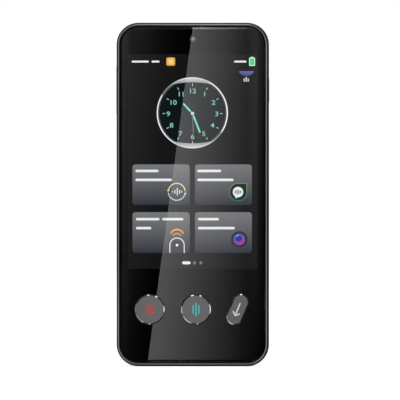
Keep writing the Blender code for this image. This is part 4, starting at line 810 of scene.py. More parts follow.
    lit("wave_light", (0.90, 0.48, 0.10), (0.80, 0.22, 0.06), (52.4 * MM, 55.4 * MM, 0.0))
    lit("lens_light", (0.070, 0.120, 0.52), (0.36, 0.060, 0.32), (37.6 * MM, 41.6 * MM, -0.6))
    lit("deep_blue_light", (0.030, 0.040, 0.26))
    lit("pale_blue_light", (0.28, 0.42, 0.85))


def material(name):
    found = bpy.data.materials.get(name)
    if not found:
        raise RuntimeError(f"there is no finish named {name}")
    return found


# Body

# Depths inside the body, as y
LEDGE_FRONT = -2.9 * MM
LEDGE_BACK = -2.1 * MM
LEDGE_WIDTH = 0.6 * MM
RABBET_FLOOR = GLASS_HIGH.y + 0.3 * MM
SIDE_KEY_RADIUS = 1.2 * MM
SIDE_FLANGE = 0.4 * MM
SIDE_FLANGE_DEPTH = 0.6 * MM
SOCKET_RADIUS = 1.6 * MM
SOCKET_STRETCH = 5.74 * MM
MOUTH = 0.15 * MM
MICROPHONE_RADIUS = 0.5 * MM
# How far a face looks along y: at least so much on the rim's ridge, and on flat glass
RIDGE_FACING = -0.85
FLAT_FACING = 0.985


def box_centre(name):
    low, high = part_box(name)
    return (low + high) / 2


def side_key_place(name):
    """The middle of a side key's hole in the frame, and the hole's stretch along Z."""
    low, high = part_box(name)
    side = math.copysign(BODY_HALF, (low + high).x)
    run = high.z - low.z - 2 * SIDE_FLANGE - 2 * SIDE_KEY_RADIUS
    return Vector((side, (low.y + high.y) / 2, (low.z + high.z) / 2)), run


def build_frame(sizes):
    wall = sizes.frame_wall
    band = plate(
        "frame_band",
        (FRAME_LOW.x, FRAME_HIGH.x),
        (FRAME_LOW.y + sizes.rim_rise, FRAME_HIGH.y),
        (FRAME_LOW.z, FRAME_HIGH.z),
        sizes.corner_radius,
        sizes.corner_steps,
        front=sizes.rim_round,
        back=0.2 * MM,
        edge_steps=5,
    )
    lip = sizes.rim_width - sizes.rim_round - sizes.rim_line
    with editing(band):
        pick(band, end_face(1, FRAME_LOW.y + sizes.rim_rise))
        bpy.ops.mesh.inset(thickness=sizes.rim_line)
        bpy.ops.transform.translate(value=(0, -sizes.rim_rise, 0))
        bpy.ops.mesh.inset(thickness=lip)
        bpy.ops.transform.translate(value=(0, sizes.rim_rise, 0))
        step_in(RABBET_FLOOR - FRAME_LOW.y - sizes.rim_rise, wall - sizes.rim_width)
        step_in(LEDGE_FRONT - RABBET_FLOOR, LEDGE_WIDTH)
        pick(band, end_face(1, FRAME_HIGH.y))
        bpy.ops.mesh.inset(thickness=wall - 0.2 * MM)
        step_in(LEDGE_BACK - FRAME_HIGH.y, LEDGE_WIDTH)
        ends = (end_face(1, LEDGE_FRONT), end_face(1, LEDGE_BACK))
        pick(band, lambda face: any(test(face) for test in ends))
        bpy.ops.mesh.bridge_edge_loops()
    cutters = []
    for name, facing in (("power_key", RIGHT), ("volume_rocker", LEFT)):
        place, run = side_key_place(name)
        cutters.append(bar(f"{name}_slot", SIDE_KEY_RADIUS + sizes.key_gap, -wall - MM, MM, place, facing, 32,
                           stretch=run, tilt=QUARTER))
    socket_at = Vector((0, box_centre("usb_socket").y, 0))
    cutters.append(bar("socket_opening", SOCKET_RADIUS + 0.2 * MM, -wall - MM, MM, socket_at, DOWN, 40,
                       stretch=SOCKET_STRETCH, tilt=QUARTER))
    for name, z in (("top_microphone", BODY_HEIGHT), ("bottom_microphone", 0.0)):
        place = Vector((box_centre(name).x, box_centre(name).y, z))
        cutters.append(bar(f"{name}_opening", MICROPHONE_RADIUS, -wall - MM, wall + MM, place, DOWN, 24))
    combine(band, cutters)
    ridge = sizes.rim_round + sizes.rim_line
    # The rim's ridge and the edge outside it take finishes with painted light and shade by the way each face
    # looks
    finishes = ["anodised_band", "dark_edge", "rim_outside", "rim_inside", "inner_black"]
    for _ in finishes:
        band.data.materials.append(None)
    for face in band.data.polygons:
        inset = rim_distance(face.center, sizes.corner_radius)
        if inset > sizes.rim_width - 0.03 * MM:
            face.material_index = 4
        elif face.normal.y < RIDGE_FACING and inset > sizes.rim_round:
            face.material_index = 3 if inset > ridge else 2
        elif face.center.y < FRAME_LOW.y + sizes.rim_rise + sizes.rim_round - NEAR:
            face.material_index = 1
    finish(band, "housing", finishes, ["side_frame"], angle=25.0)


def rim_distance(place, corner):
    """How far a place lies inside the body's outline, seen from the front."""
    middle = (FRAME_LOW + FRAME_HIGH) / 2
    over = [max(abs(place[i] - middle[i]) - (FRAME_HIGH[i] - middle[i] - corner), 0) for i in (0, 2)]
    if min(over) > 0:
        return corner - math.hypot(*over)
    return min(FRAME_HIGH[i] - middle[i] - abs(place[i] - middle[i]) for i in (0, 2))


def step_in(depth, width):
    """Pushes the selected face back, then draws it in."""
    bpy.ops.mesh.extrude_region_move(TRANSFORM_OT_translate={"value": (0, depth, 0)})
    bpy.ops.mesh.inset(thickness=width)


FRONT_KEYS = ("left_talk", "right_talk", "back")


def key_shape(key, sizes):
    """Place, radius, stretch and tilt of a key under the screen."""
    centre = box_centre(f"{key}_key")
    place = Vector((centre.x, GLASS_LOW.y, centre.z))
    if key == "back":
        stretch = sizes.back_key_length - sizes.back_key_width
        return place, sizes.back_key_width / 2, stretch, sizes.back_key_tilt
    return place, sizes.talk_key_radius, 0.0, 0.0


def key_cutters(sizes, name, grow, start, end):
    cutters = []
    for key in FRONT_KEYS:
        place, radius, stretch, tilt = key_shape(key, sizes)
        cutters.append(bar(f"{name}_{key}", radius + grow, start, end, place, FRONT, sizes.round_steps,
                           stretch=stretch, tilt=tilt))
    return cutters


PRINT_DEPTH = (GLASS_HIGH.y + 0.01 * MM, GLASS_HIGH.y + 0.05 * MM)
ACTIVE_X = (-25.92 * MM, 25.92 * MM)
ACTIVE_Z = (39.2 * MM, 125.6 * MM)


def build_glass(sizes):
    inset = GLASS_LOW.z
    corner = sizes.corner_radius - inset
    glass = plate("front_glass", (GLASS_LOW.x, GLASS_HIGH.x), (GLASS_LOW.y, GLASS_HIGH.y),
                  (GLASS_LOW.z, GLASS_HIGH.z), corner, sizes.corner_steps, front=sizes.glass_edge,
                  edge_steps=8)
    combine(glass, key_cutters(sizes, "glass_hole", sizes.key_gap, -3 * MM, 2 * MM))
    for _ in range(2):
        glass.data.materials.append(None)
    # The rounded edge of the glass takes the black finish, painted dark
    for face in glass.data.polygons:
        outer = rim_distance(face.center, sizes.corner_radius) < inset + sizes.glass_edge
        if outer and abs(face.normal.y) < FLAT_FACING:
            face.material_index = 1
    finish(glass, "housing", ["clear_glass", "edge_print"], ["cover_glass"], angle=25.0)
    edge = 0.12 * MM
    mask = plate("glass_print", (GLASS_LOW.x + edge, GLASS_HIGH.x - edge), PRINT_DEPTH,
                 (GLASS_LOW.z + edge, GLASS_HIGH.z - edge), corner - edge, sizes.corner_steps)
    window = block("screen_window", ACTIVE_X, (PRINT_DEPTH[0] - MM, PRINT_DEPTH[1] + MM), ACTIVE_Z)
    lens_at = Vector((0, GLASS_HIGH.y, box_centre("front_camera").z))
    hole = bar("lens_window", 1.25 * MM, -2 * MM, 2 * MM, lens_at, FRONT, 48)
    combine(mask, [window, hole] + key_cutters(sizes, "print_hole", sizes.key_gap, -3 * MM, 2 * MM))
    finish(mask, "housing", "black_print")


def build_front_keys(sizes):
    top = -(KEY_LOW.y - GLASS_LOW.y) - 0.02 * MM
    under = -(KEY_HIGH.y - GLASS_LOW.y)
    flange_top = -(GLASS_HIGH.y + 0.3 * MM - GLASS_LOW.y)
    flange_end = flange_top - 0.5 * MM
    flatter = 0.1 * MM
    for key in FRONT_KEYS:
        place, radius, stretch, tilt = key_shape(key, sizes)
        cap = bar(f"{key}_cap", radius, flange_end, top + flatter, *AT_ORIGIN, sizes.round_steps,
                  stretch=stretch, chamfer=sizes.key_chamfer)
        with editing(cap):
            pick(cap, end_face(2, top + flatter))
            bpy.ops.transform.translate(value=(0, 0, -flatter))
        flange = bar("flange", radius + 0.7 * MM, flange_end, flange_top, *AT_ORIGIN, sizes.round_steps,
                     stretch=stretch)
        plunger = bar("plunger", 1.2 * MM, under, flange_end + 0.2 * MM, *AT_ORIGIN, 32)
        combine(cap, [flange, plunger], "UNION")
        cap.data.materials.append(None)
        cap.data.materials.append(None)
        # The cut rim takes the finish with painted highlight arcs
        for face in cap.data.polygons:
            if top - sizes.key_chamfer < face.center.z < top - NEAR and face.normal.z > 0.05:
                face.material_index = 1
        put(cap, place, FRONT @ Matrix.Rotation(tilt, 4, "Z"))
        finish(cap, key, ["cap_satin", f"{key}_rim"], [f"{key}_key"], angle=20.0)
        build_mark(key, place, tilt)


MARK_DEPTH = (0.475 * MM, 0.5 * MM)
MARK_HALF = 0.32 * MM
# Place across and length of each sound bar, and place, length and lean of each line of the arrow
MARK_BARS = ((-1.13 * MM, 3.6 * MM), (0.0, 5.4 * MM), (1.13 * MM, 3.6 * MM))
ARROW_HALF = 0.28 * MM
ARROW_LINES = ((0.0, 0.0, 5.6 * MM, 0.0), (0.72 * MM, -2.0 * MM, 2.2 * MM, -45.0),
               (-0.72 * MM, -2.0 * MM, 2.2 * MM, 45.0))


def build_mark(key, place, tilt):
    """Sound bars on the talk keys, and an arrow on the back key."""
    lines = []
    if key == "back":
        for x, z, run, lean in ARROW_LINES:
            turned = Matrix.Rotation(math.radians(lean), 4, "Z")
            line = bar("stroke", ARROW_HALF, *MARK_DEPTH, (0, 0, 0), turned, 16, stretch=run - 2 * ARROW_HALF)
            lines.append(put(line, (x, z, 0)))
    else:
        for x, run in MARK_BARS:
            lines.append(bar("stroke", MARK_HALF, *MARK_DEPTH, (x, 0, 0), Matrix.Identity(4), 16,
                             stretch=run - 2 * MARK_HALF))
    mark = merge(f"{key}_mark", lines)
    put(mark, place, FRONT @ Matrix.Rotation(tilt, 4, "Z"))
    tone = {"left_talk": "left_mark_print", "right_talk": "right_mark_print", "back": "white_print"}[key]
    finish(mark, key, tone)


def build_side_keys(sizes):
    for name, facing, body in (("power_key", RIGHT, "power"), ("volume_rocker", LEFT, "volume")):
        place, run = side_key_place(name)
        low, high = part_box(name)
        proud = max(abs(low.x), abs(high.x)) - BODY_HALF
        bottom = min(abs(low.x), abs(high.x)) - BODY_HALF
        cap = bar(f"{name}_cap", SIDE_KEY_RADIUS, bottom, proud, *AT_ORIGIN, 48, stretch=run,
                  chamfer=0.18 * MM, chamfer_steps=3)
        flange = bar("flange", SIDE_KEY_RADIUS + SIDE_FLANGE, bottom, bottom + SIDE_FLANGE_DEPTH, *AT_ORIGIN,
                     48, stretch=run)
        combine(cap, [flange], "UNION")
        put(cap, place, facing @ Matrix.Rotation(QUARTER, 4, "Z"))
        finish(cap, body, "key_metal", [name], angle=25.0)


# Back

LIP_INSET = 2.4 * MM
LIP_WALL = 0.8 * MM
COVER_INSIDE = 4.8 * MM
COVER_FRONT = 3.6 * MM
RING_RADIUS = 5.6 * MM
RING_STEM = 4.8 * MM
RING_OPENING = 4.2 * MM
RING_SINK = 0.4 * MM
FLASH_RADIUS = 1.9 * MM
SLOT_COUNT = 7
SLOT_PITCH = 2.8 * MM
SLOT_RADIUS = 0.65 * MM
SLOT_STRETCH = 5.3 * MM


def build_cover(sizes):
    cover = plate("back_cover", (COVER_LOW.x, COVER_HIGH.x), (COVER_FRONT, COVER_HIGH.y),
                  (COVER_LOW.z, COVER_HIGH.z), sizes.corner_radius, sizes.corner_steps,
                  back=sizes.cover_round, edge_steps=10)
    with editing(cover):
        pick(cover, end_face(1, COVER_FRONT))
        bpy.ops.mesh.inset(thickness=LIP_INSET)
        step_in(COVER_LOW.y - COVER_FRONT, LIP_WALL)
        bpy.ops.mesh.extrude_region_move(TRANSFORM_OT_translate={"value": (0, COVER_INSIDE - COVER_LOW.y, 0)})
    camera = box_centre("camera_bezel")
    camera_at = Vector((camera.x, COVER_HIGH.y, camera.z))
    flash = box_centre("flash_window")
    flash_at = Vector((flash.x, COVER_HIGH.y, flash.z))
    steps = sizes.round_steps
    gap = 0.2 * MM
    cutters = [
        bar("counterbore", RING_RADIUS + gap, -RING_SINK - gap, MM, camera_at, REAR, steps),
        bar("stem_bore", RING_STEM + gap, -3 * MM, MM, camera_at, REAR, steps),
        bar("flash_bore", FLASH_RADIUS + gap, -3 * MM, MM, flash_at, REAR, steps),
    ]
    speaker = box_centre("speaker_mesh")
    first = -(SLOT_COUNT - 1) / 2 * SLOT_PITCH
    for i in range(SLOT_COUNT):
        place = Vector((speaker.x + first + i * SLOT_PITCH, COVER_HIGH.y, speaker.z))
        cutters.append(bar(f"slot_{i}", SLOT_RADIUS, -3 * MM, MM, place, REAR, 32, stretch=SLOT_STRETCH))
        cutters.append(bar(f"slot_mouth_{i}", SLOT_RADIUS + MOUTH + 0.2 * MM, -MOUTH, 0.2 * MM, place, REAR,
                           32, stretch=SLOT_STRETCH, foot=MOUTH + 0.19 * MM))
    for name in ("power_key", "volume_rocker"):
        low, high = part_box(name)
        outer = math.copysign(BODY_HALF - LIP_INSET + HALF * MM, low.x)
        inner = math.copysign(BODY_HALF - LIP_INSET - LIP_WALL - HALF * MM, low.x)
        cutters.append(block(f"{name}_relief", sorted((inner, outer)), (COVER_LOW.y - MM, COVER_FRONT),
                             (low.z - 0.3 * MM, high.z + 0.3 * MM)))
    socket_low, socket_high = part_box("usb_socket")
    cutters.append(block("socket_relief", (socket_low.x - 0.3 * MM, socket_high.x + 0.3 * MM),
                         (COVER_LOW.y - MM, COVER_FRONT), (LIP_INSET - MM, LIP_INSET + LIP_WALL + MM)))
    combine(cover, cutters)
    finish(cover, "housing", "soft_cover", ["rear_cover"], angle=28.0)


def build_rear_camera(sizes):
    steps = sizes.round_steps
    low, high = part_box("camera_bezel")
    centre = (low + high) / 2
    place = Vector((centre.x, high.y, centre.z))
    full = high.y - low.y
    flange_depth = high.y - (COVER_HIGH.y - RING_SINK)
    bezel = ring("camera_ring", RING_STEM, RING_STEM - 1.0 * MM, -full, -flange_depth + 0.1 * MM, *AT_ORIGIN,
                 steps)
    flange = ring("flange", RING_RADIUS, RING_OPENING, -flange_depth, 0.0, *AT_ORIGIN, steps,
                  chamfer=0.3 * MM, chamfer_steps=4)
    combine(bezel, [flange], "UNION")
    put(bezel, place, REAR)
    finish(bezel, "housing", "ring_metal", ["camera_bezel"], angle=25.0)
    low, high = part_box("camera_glass")
    window = bar("camera_window", (high.x - low.x) / 2, low.y - high.y, 0.0,
                 Vector((centre.x, high.y, centre.z)), REAR, steps, chamfer=0.1 * MM)
    finish(window, "housing", "clear_glass", ["camera_glass"])
    low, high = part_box("rear_camera")
    half = (high.x - low.x) / 2
    base = plate("rear_camera_body", (-half, half), (low.y, low.y + 3.6 * MM), (-half, half), 0.8 * MM, 6,
                 back=0.15 * MM)
    put(base, (centre.x, 0, centre.z))
    top = Vector((centre.x, high.y, centre.z))
    barrel = bar("barrel", 3.3 * MM, -2.4 * MM, 0.0, top, REAR, steps, chamfer=0.15 * MM)
    combine(base, [barrel], "UNION")
    wells = [bar(f"well_{radius}", radius * MM, -depth * MM, MM, top, REAR, steps)
             for radius, depth in ((2.9, 0.15), (2.5, 0.35), (2.1, 0.55), (1.8, 0.75))]
    combine(base, wells)
    finish(base, "housing", "lens_black", ["rear_camera"], angle=25.0)
    dome_lens("rear_lens", 1.75 * MM, 0.5 * MM, top - Vector((0, 0.74 * MM, 0)), REAR, steps)


def dome_lens(name, radius, rise, place, facing, steps, surface_name="lens_coating"):
    """A lens: a flat disc whose face is drawn up into a dome."""
    lens = bar(name, radius, 0.0, 0.05 * MM, *AT_ORIGIN, steps)
    rings = 6
    level = 0.05 * MM
    with editing(lens):
        pick(lens, end_face(2, level))
        for i in range(rings):
            near_share, far_share = (1 - i / rings), (1 - (i + 1) / rings)
            if i + 1 < rings:
                bpy.ops.mesh.inset(thickness=radius / rings)
                lift = rise * (near_share**2 - far_share**2)
                bpy.ops.transform.translate(value=(0, 0, lift))
        bpy.ops.mesh.poke()
    put(lens, place, facing)
    finish(lens, "housing", surface_name, angle=40.0)


def build_flash(sizes):
    low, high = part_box("flash_window")
    centre = (low + high) / 2
    window = bar("flash_lens", FLASH_RADIUS, -1.2 * MM, 0.0, *AT_ORIGIN, 64)
    with editing(window):
        pick(window, end_face(2, 0.0))
        for i in range(6):
            bpy.ops.mesh.inset(thickness=0.12 * MM)
            bpy.ops.transform.translate(value=(0, 0, -0.04 * MM))
            bpy.ops.mesh.inset(thickness=0.12 * MM)
            bpy.ops.transform.translate(value=(0, 0, 0.03 * MM))
    stem = bar("stem", 1.4 * MM, low.y - high.y, -1.0 * MM, *AT_ORIGIN, 48)
    combine(window, [stem], "UNION")
    put(window, (centre.x, high.y, centre.z), REAR)
    finish(window, "housing", "flash_lens", ["flash_window"], angle=15.0)


def build_front_camera(sizes):
    low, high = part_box("front_camera")
    centre = (low + high) / 2
    body = plate("front_camera_body", (low.x, high.x), (low.y + 1.2 * MM, high.y), (low.z, high.z),
                 0.8 * MM, 5)
    top = Vector((centre.x, low.y, centre.z))
    barrel = bar("barrel", 1.7 * MM, -1.8 * MM, 0.0, top, FRONT, 48, chamfer=0.1 * MM)
    combine(body, [barrel], "UNION")
    combine(body, [bar("well", 1.15 * MM, -0.3 * MM, MM, top, FRONT, 48)])
    finish(body, "housing", "lens_black", ["front_camera"], angle=25.0)
    dome_lens("front_lens", 1.12 * MM, 0.2 * MM, top + Vector((0, 0.29 * MM, 0)), FRONT, 48,
              "front_coating")
    # A small bright dome on the lens, as a painted highlight
    core_at = top + Vector((-0.05 * MM, 0.02 * MM, 0.1 * MM))
    dome_lens("front_lens_core", 0.34 * MM, 0.1 * MM, core_at, FRONT, 32, "lens_core")


def build_socket(sizes):
    low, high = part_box("usb_socket")
    centre = (low + high) / 2
    place = Vector((0, centre.y, low.z))
    run = high.z - low.z
    sleeve = ring("charging_socket", SOCKET_RADIUS, SOCKET_RADIUS - 0.3 * MM, -run, 0.0, *AT_ORIGIN, 48,
                  stretch=SOCKET_STRETCH, chamfer=0.1 * MM)
    plug = bar("back_wall", SOCKET_RADIUS - 0.05 * MM, -run, -run + 0.6 * MM, *AT_ORIGIN, 48,
               stretch=SOCKET_STRETCH)
    combine(sleeve, [plug], "UNION")
    put(sleeve, place, DOWN @ Matrix.Rotation(QUARTER, 4, "Z"))
    finish(sleeve, "housing", "pressed_steel", ["usb_socket"], angle=25.0)
    low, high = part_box("usb_tongue")
    tongue = plate("contact_tongue", (low.x, high.x), (low.y + 0.03 * MM, high.y - 0.03 * MM),
                   (low.z, high.z), 0.3 * MM, 4)
    finish(tongue, "housing", "black_plastic", ["usb_tongue"])
    pads = []
    for side, y in ((-1, low.y), (1, high.y - 0.04 * MM)):
        for i in range(12):
            x = (i - 5.5) * 0.5 * MM
            pads.append(plate("pad", (x - 0.13 * MM, x + 0.13 * MM), (y, y + 0.04 * MM),
                              (low.z + 0.3 * MM, low.z + 3.6 * MM), 0.05 * MM, 2))
    finish(merge("socket_contacts", pads), "housing", "gold_contact")


# Picture on the screen

LAYER_STEP = 0.04 * MM
LAYER_DEPTH = 0.03 * MM
CLOCK_AT = (-0.1 * MM, 101.7 * MM)
RIM_AT = (-0.19 * MM, 101.98 * MM)
RIM_RADIUS = 14.33 * MM
RIM_LINE = 0.5
# Size of the numbers, how far out they stand across and up, and the ticks' ends in millimetres
NUMBER_SIZE = 2.65 * MM
NUMBER_REACH = (9.75 * MM, 9.2 * MM)
TICK_ENDS = (11.15, 11.95)
# Each hand's tip from the middle in millimetres, the share left bare at the hub, and its layer
HANDS = ((-3.5, 3.75, 0.26, 4), (2.92, -7.4, 0.16, 5))
# The round shade that leaves a crescent of the glow
SHADE_RADIUS = 34.9 * MM
SHADE_SHIFT = 22.6 * MM
NUMBER_SHIFTS = {4: -0.4 * MM, 5: -0.4 * MM, 10: 0.6 * MM, 11: 0.3 * MM}
NUMBER_DROP = 0.25 * MM


def layer(i):
    """The depth of one layer of the picture, counted up from the panel."""
    back = PANEL_LOW.y - 0.005 * MM - i * LAYER_STEP
    return (back - LAYER_DEPTH, back)


def patch(name, x, z, i, corner, steps=5):
    """A rounded oblong in a layer, from its sides in millimetres."""
    return plate(name, [v * MM for v in x], layer(i), [v * MM for v in z], corner * MM, steps)


def stroke(name, start, end, width, i, steps=12):
    """A round-ended line in a layer, between two places in millimetres."""
    front, back = layer(i)
    run = Vector(end) - Vector(start)
    middle = (Vector(start) + Vector(end)) / 2 * MM
    return bar(name, width / 2 * MM, -back, -front, (middle.x, 0, middle.y), FRONT, steps,
               stretch=run.length * MM, tilt=math.atan2(-run.x, run.y))


def disc(name, at, radius, i, steps=40):
    front, back = layer(i)
    return bar(name, radius * MM, -back, -front, (at[0] * MM, 0, at[1] * MM), FRONT, steps)


def hoop(name, at, outer, inner, i, steps=72):
    front, back = layer(i)
    return ring(name, outer * MM, inner * MM, -back, -front, (at[0] * MM, 0, at[1] * MM), FRONT, steps)


def keep(piece, x, z):
    """Only the part of a flat piece inside an oblong, in millimetres."""
    window = block("window", [v * MM for v in x], (PANEL_LOW.y - MM, PANEL_LOW.y + MM), [v * MM for v in z])
    return combine(piece, [window], "INTERSECT")


def show(name, pieces, light):
    """Puts pieces of one light together as a piece of the picture."""
    return finish(merge(name, pieces), "housing", light)


def build_ground(sizes):
    ground = plate("screen_ground", ACTIVE_X, layer(0), ACTIVE_Z, 0.05 * MM, 2)
    finish(ground, "housing", "screen_ground")


def on_dial(hour, across, up):
    angle = math.tau * hour / 12
    return CLOCK_AT[0] + across * math.sin(angle), CLOCK_AT[1] + up * math.cos(angle)


def build_clock(sizes):
    at = [v / MM for v in CLOCK_AT]
    rim_at = [v / MM for v in RIM_AT]
    radius = RIM_RADIUS / MM
    inner = radius - 2 * RIM_LINE
    show("dial_face", [disc("face", rim_at, inner, 1, 96)], "dial_face")
    show("rim_glow", [hoop("glow", rim_at, radius - 0.05, inner, 1, 96)], "rim_glow")
    for name, side in (("dial_glow_top", 1), ("dial_glow_bottom", -1)):
        glow = disc(name, rim_at, radius - 0.05, 2, 120)
        front, back = layer(2)
        shade = bar("shade", SHADE_RADIUS, -back - MM, -front + MM,
                    (RIM_AT[0], 0, RIM_AT[1] - side * SHADE_SHIFT), FRONT, 240)
        combine(glow, [shade])
        show(name, [glow], name)
    show("dial_rim", [hoop("rim", rim_at, radius, radius - RIM_LINE, 3, 120)], "rim_light")
    numbers = []
    for hour in range(1, 13):
        x, z = on_dial(hour, *NUMBER_REACH)
        place = (x + NUMBER_SHIFTS.get(hour, 0.0), z - NUMBER_DROP)
        numbers.append(lettering(str(hour), NUMBER_SIZE, layer(3), place))
    show("dial_numbers", numbers, "number_light")
    ticks = []
    for hour in range(1, 13):
        ends = [[v / MM for v in on_dial(hour, reach * MM, reach * MM)] for reach in TICK_ENDS]
        ticks.append(stroke("tick", *ends, 0.26, 3))
    show("dial_ticks", ticks, "tick_light")
    hands = []
    for x, z, gap, level in HANDS:
        tip = (at[0] + x, at[1] + z)
        start = (at[0] + x * gap, at[1] + z * gap)
        hands.append(stroke("hand", start, tip, 0.72, level, 16))
    show("dial_hands", hands, "hand_light")
    show("second_hand", [stroke("hand", (at[0], at[1] - 1.2), (at[0] + 0.3, at[1] - 7.8), 0.26, 4, 8)],
         "second_light")
    show("dial_hub", [hoop("hub", at, 0.66, 0.24, 5, 32)], "white_light")


TILES = ((-24.27, -1.23, 64.87, 81.22), (0.87, 23.79, 64.87, 81.22),
         (-24.27, -1.23, 45.57, 62.00), (0.87, 23.79, 45.57, 62.00))
# Plain bars in the place of words: from and to in x, and z
WORD_BARS = ((-24.6, -17.7, 122.6), (-16.6, -13.4, 122.6), (16.6, 21.6, 122.6),
             (-23.1, -13.8, 78.6), (-23.1, -8.4, 75.0), (1.8, 11.4, 78.6), (1.8, 16.4, 75.0),
             (-22.9, -13.4, 59.2), (-12.3, -3.8, 59.2), (-22.9, -16.7, 55.6),
             (2.1, 10.5, 59.2), (2.1, 16.9, 55.6))
THIN_BARS = 3


def build_tiles(sizes):
    for i, (left, right, low, high) in enumerate(TILES, 1):
        light = f"tile_light_{1 if i < 3 else 2}"
        show(f"tile_{i}", [patch("tile", (left, right), (low, high), 1, 1.2)], light)
    bars = []
    for i, (left, right, z) in enumerate(WORD_BARS):
        width = 0.8 if i < THIN_BARS else 1.05
        half = width / 2
        bars.append(stroke("word", (left + half, z), (right - half, z), width, 2))
    show("word_bars", bars, "white_light")
    show("page_mark", [stroke("mark", (-3.65, 41.6), (-1.5, 41.6), 1.2, 1, 24)], "white_light")
    show("page_dots", [disc("dot", (x, 41.6), 0.62, 1, 24) for x in (0.71, 3.24)], "grey_light")


def build_status(sizes):
    show("notice", [patch("notice", (-10.68, -7.08), (120.9, 124.3), 1, 0.7)], "orange_light")
    show("notice_centre", [patch("centre", (-10.3, -7.45), (121.3, 123.95), 2, 0.5)], "amber_light")
    show("notice_spot", [disc("spot", (-8.88, 122.6), 0.7, 3, 24)], "pale_orange_light")
    case = patch("case", (22.65, 25.05), (120.85, 124.2), 1, 0.4)
    cap = patch("cap", (23.35, 24.35), (124.22, 124.5), 1, 0.1)
    show("charge_case", [case, cap], "white_light")
    show("charge_level", [patch("level", (22.95, 24.75), (121.15, 123.9), 2, 0.25)], "green_light")
    show("badge", [keep(disc("badge", (21.6, 119.93), 3.23, 1, 64), (18, 25), (116, 118.75))], "violet_light")
    tops = ((20.7, 115.6), (21.5, 116.2), (22.3, 115.6))
    lines = [stroke("line", (x, 114.7), (x, top), 0.42, 2) for x, top in tops]
    show("badge_lines", lines, "white_light")


def sound_bars(at, level, steps, width):
    return [stroke("sound", (at[0] + x, at[1] - h), (at[0] + x, at[1] + h), width, level) for x, h in steps]


def build_icons(sizes):
    # Sound in a ring
    at = (-6.45, 70.2)
    upper = keep(hoop("arc", at, 3.6, 3.2, 2), (at[0] - 4, at[0] + 4), (at[1] + 0.25, at[1] + 4))
    lower = keep(hoop("arc", at, 3.6, 3.2, 2), (at[0] - 4, at[0] + 4), (at[1] - 4, at[1] - 0.35))
    show("ring_upper", [upper, disc("end", (at[0] - 3.4, at[1] + 0.55), 0.42, 3, 16)], "pale_orange_light")
    show("ring_lower", [lower, disc("end", (at[0] + 3.4, at[1] - 0.7), 0.42, 3, 16)], "pale_teal_light")
    heights = ((-1.7, 0.05), (-0.75, 0.6), (0.2, 1.35), (1.15, 0.6), (2.0, 0.15))
    show("ring_sound", sound_bars(at, 2, heights, 0.38), "white_light")
    # Speech bubble on a dark disc
    at = (18.2, 70.1)
    for name, radius, level, light in (("bubble_edge", 3.66, 2, "leaf_light"),
                                       ("bubble_disc", 3.36, 3, "dark_leaf_light")):
        round_part = disc(name, at, radius, level, 56)
        corner = patch("corner", (at[0], at[0] + radius), (at[1], at[1] + radius), level, 0.6)
        combine(round_part, [corner], "UNION")
        show(name, [round_part], light)
    bubble = disc("bubble", at, 2.1, 4, 48)
    tail = stroke("tail", (at[0] - 0.9, at[1] - 1.2), (at[0] - 0.7, at[1] - 2.15), 0.7, 4)
    combine(bubble, [tail], "UNION")
    show("bubble", [bubble], "white_light")
    show("bubble_sound", sound_bars(at, 5, ((-1.15, 0.4), (-0.4, 0.8), (0.35, 0.6), (1.1, 0.35)), 0.4),
         "dark_leaf_light")
    # Waves over an arch
    at = (-6.35, 48.74)
    waves = []
    for centre, outer, inner in ((52.3, 3.06, 2.4), (51.5, 2.2, 1.6)):
        wave = hoop("wave", (at[0], centre), outer, inner, 2)
        waves.append(keep(wave, (at[0] - 2.75, at[0] + 2.75), (centre + 0.95, 57)))
    show("waves", waves, "wave_light")
    arch = hoop("arch", at, 3.07, 2.7, 2)
    arch = keep(arch, (at[0] - 4, at[0] + 4), (at[1], at[1] + 4))
    legs = [patch("leg", sorted((at[0] + side * 2.7, at[0] + side * 3.07)), (45.6, at[1] - 0.002), 2, 0.05, 2)
            for side in (-1, 1)]
    show("arch", [arch] + legs, "white_light")
    show("arch_disc", [disc("disc", at, 1.75, 2)], "dim_light")
    show("arch_dot", [disc("dot", at, 0.58, 3, 24)], "white_light")
    # Lens
    at = (18.68, 51.05)
    show("lens_ring", [disc("ring", at, 3.33, 2, 56)], "dark_violet_light")
    show("lens_glass", [disc("glass", at, 2.36, 3, 48)], "lens_light")
    show("lens_core", [disc("core", (at[0] - 0.25, at[1] + 0.35), 1.25, 4)], "deep_blue_light")
    show("lens_spark", [stroke("spark", (at[0] - 1.3, at[1] + 1.25), (at[0] - 0.2, at[1] + 1.6), 0.42, 5)],
         "pale_blue_light")


# Inside, from the CAD model

INNER_FINISHES = {
    "dome_steel": ("left_talk_dome", "right_talk_dome", "back_dome"),
    "black_plastic": ("key_bracket", "battery_strip", "speaker_box", "speaker_diaphragm"),
    "green_board": ("key_board", "main_board", "lower_board"),
    "panel_glass": ("lcd_panel",),
    "light_foil": ("backlight_unit",),
    "flex_film": ("display_flex", "key_flex", "link_flex", "battery_lead"),
    "rolled_plate": ("mid_chassis",),
    "pressed_steel": ("processor_shield", "radio_shield", "top_microphone", "bottom_microphone"),
    "chip_resin": ("processor_chip", "memory_chip", "radio_chip", "power_switch", "volume_up_switch",
                   "volume_down_switch", "battery_connector", "upper_link_connector", "lower_link_connector"),
    "antenna_ceramic": ("wifi_antenna", "flash_led"),
    "battery_pouch": ("battery_cell",),
    "foam_rubber": ("speaker_gasket",),
    "speaker_weave": ("speaker_mesh",),
    "screw_steel": tuple(f"board_screw_{i}" for i in range(1, 7)),
}


def dress_inner_nodes():
    for surface_name, nodes in INNER_FINISHES.items():
        for name in nodes:
            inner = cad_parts[name]
            for place in inner.material_slots:
                place.material = material(surface_name)


# Stage


def stage_material(name):
    made = bpy.data.materials.new(name)
    made.use_nodes = True
    made.node_tree.nodes.clear()
    return made, made.node_tree


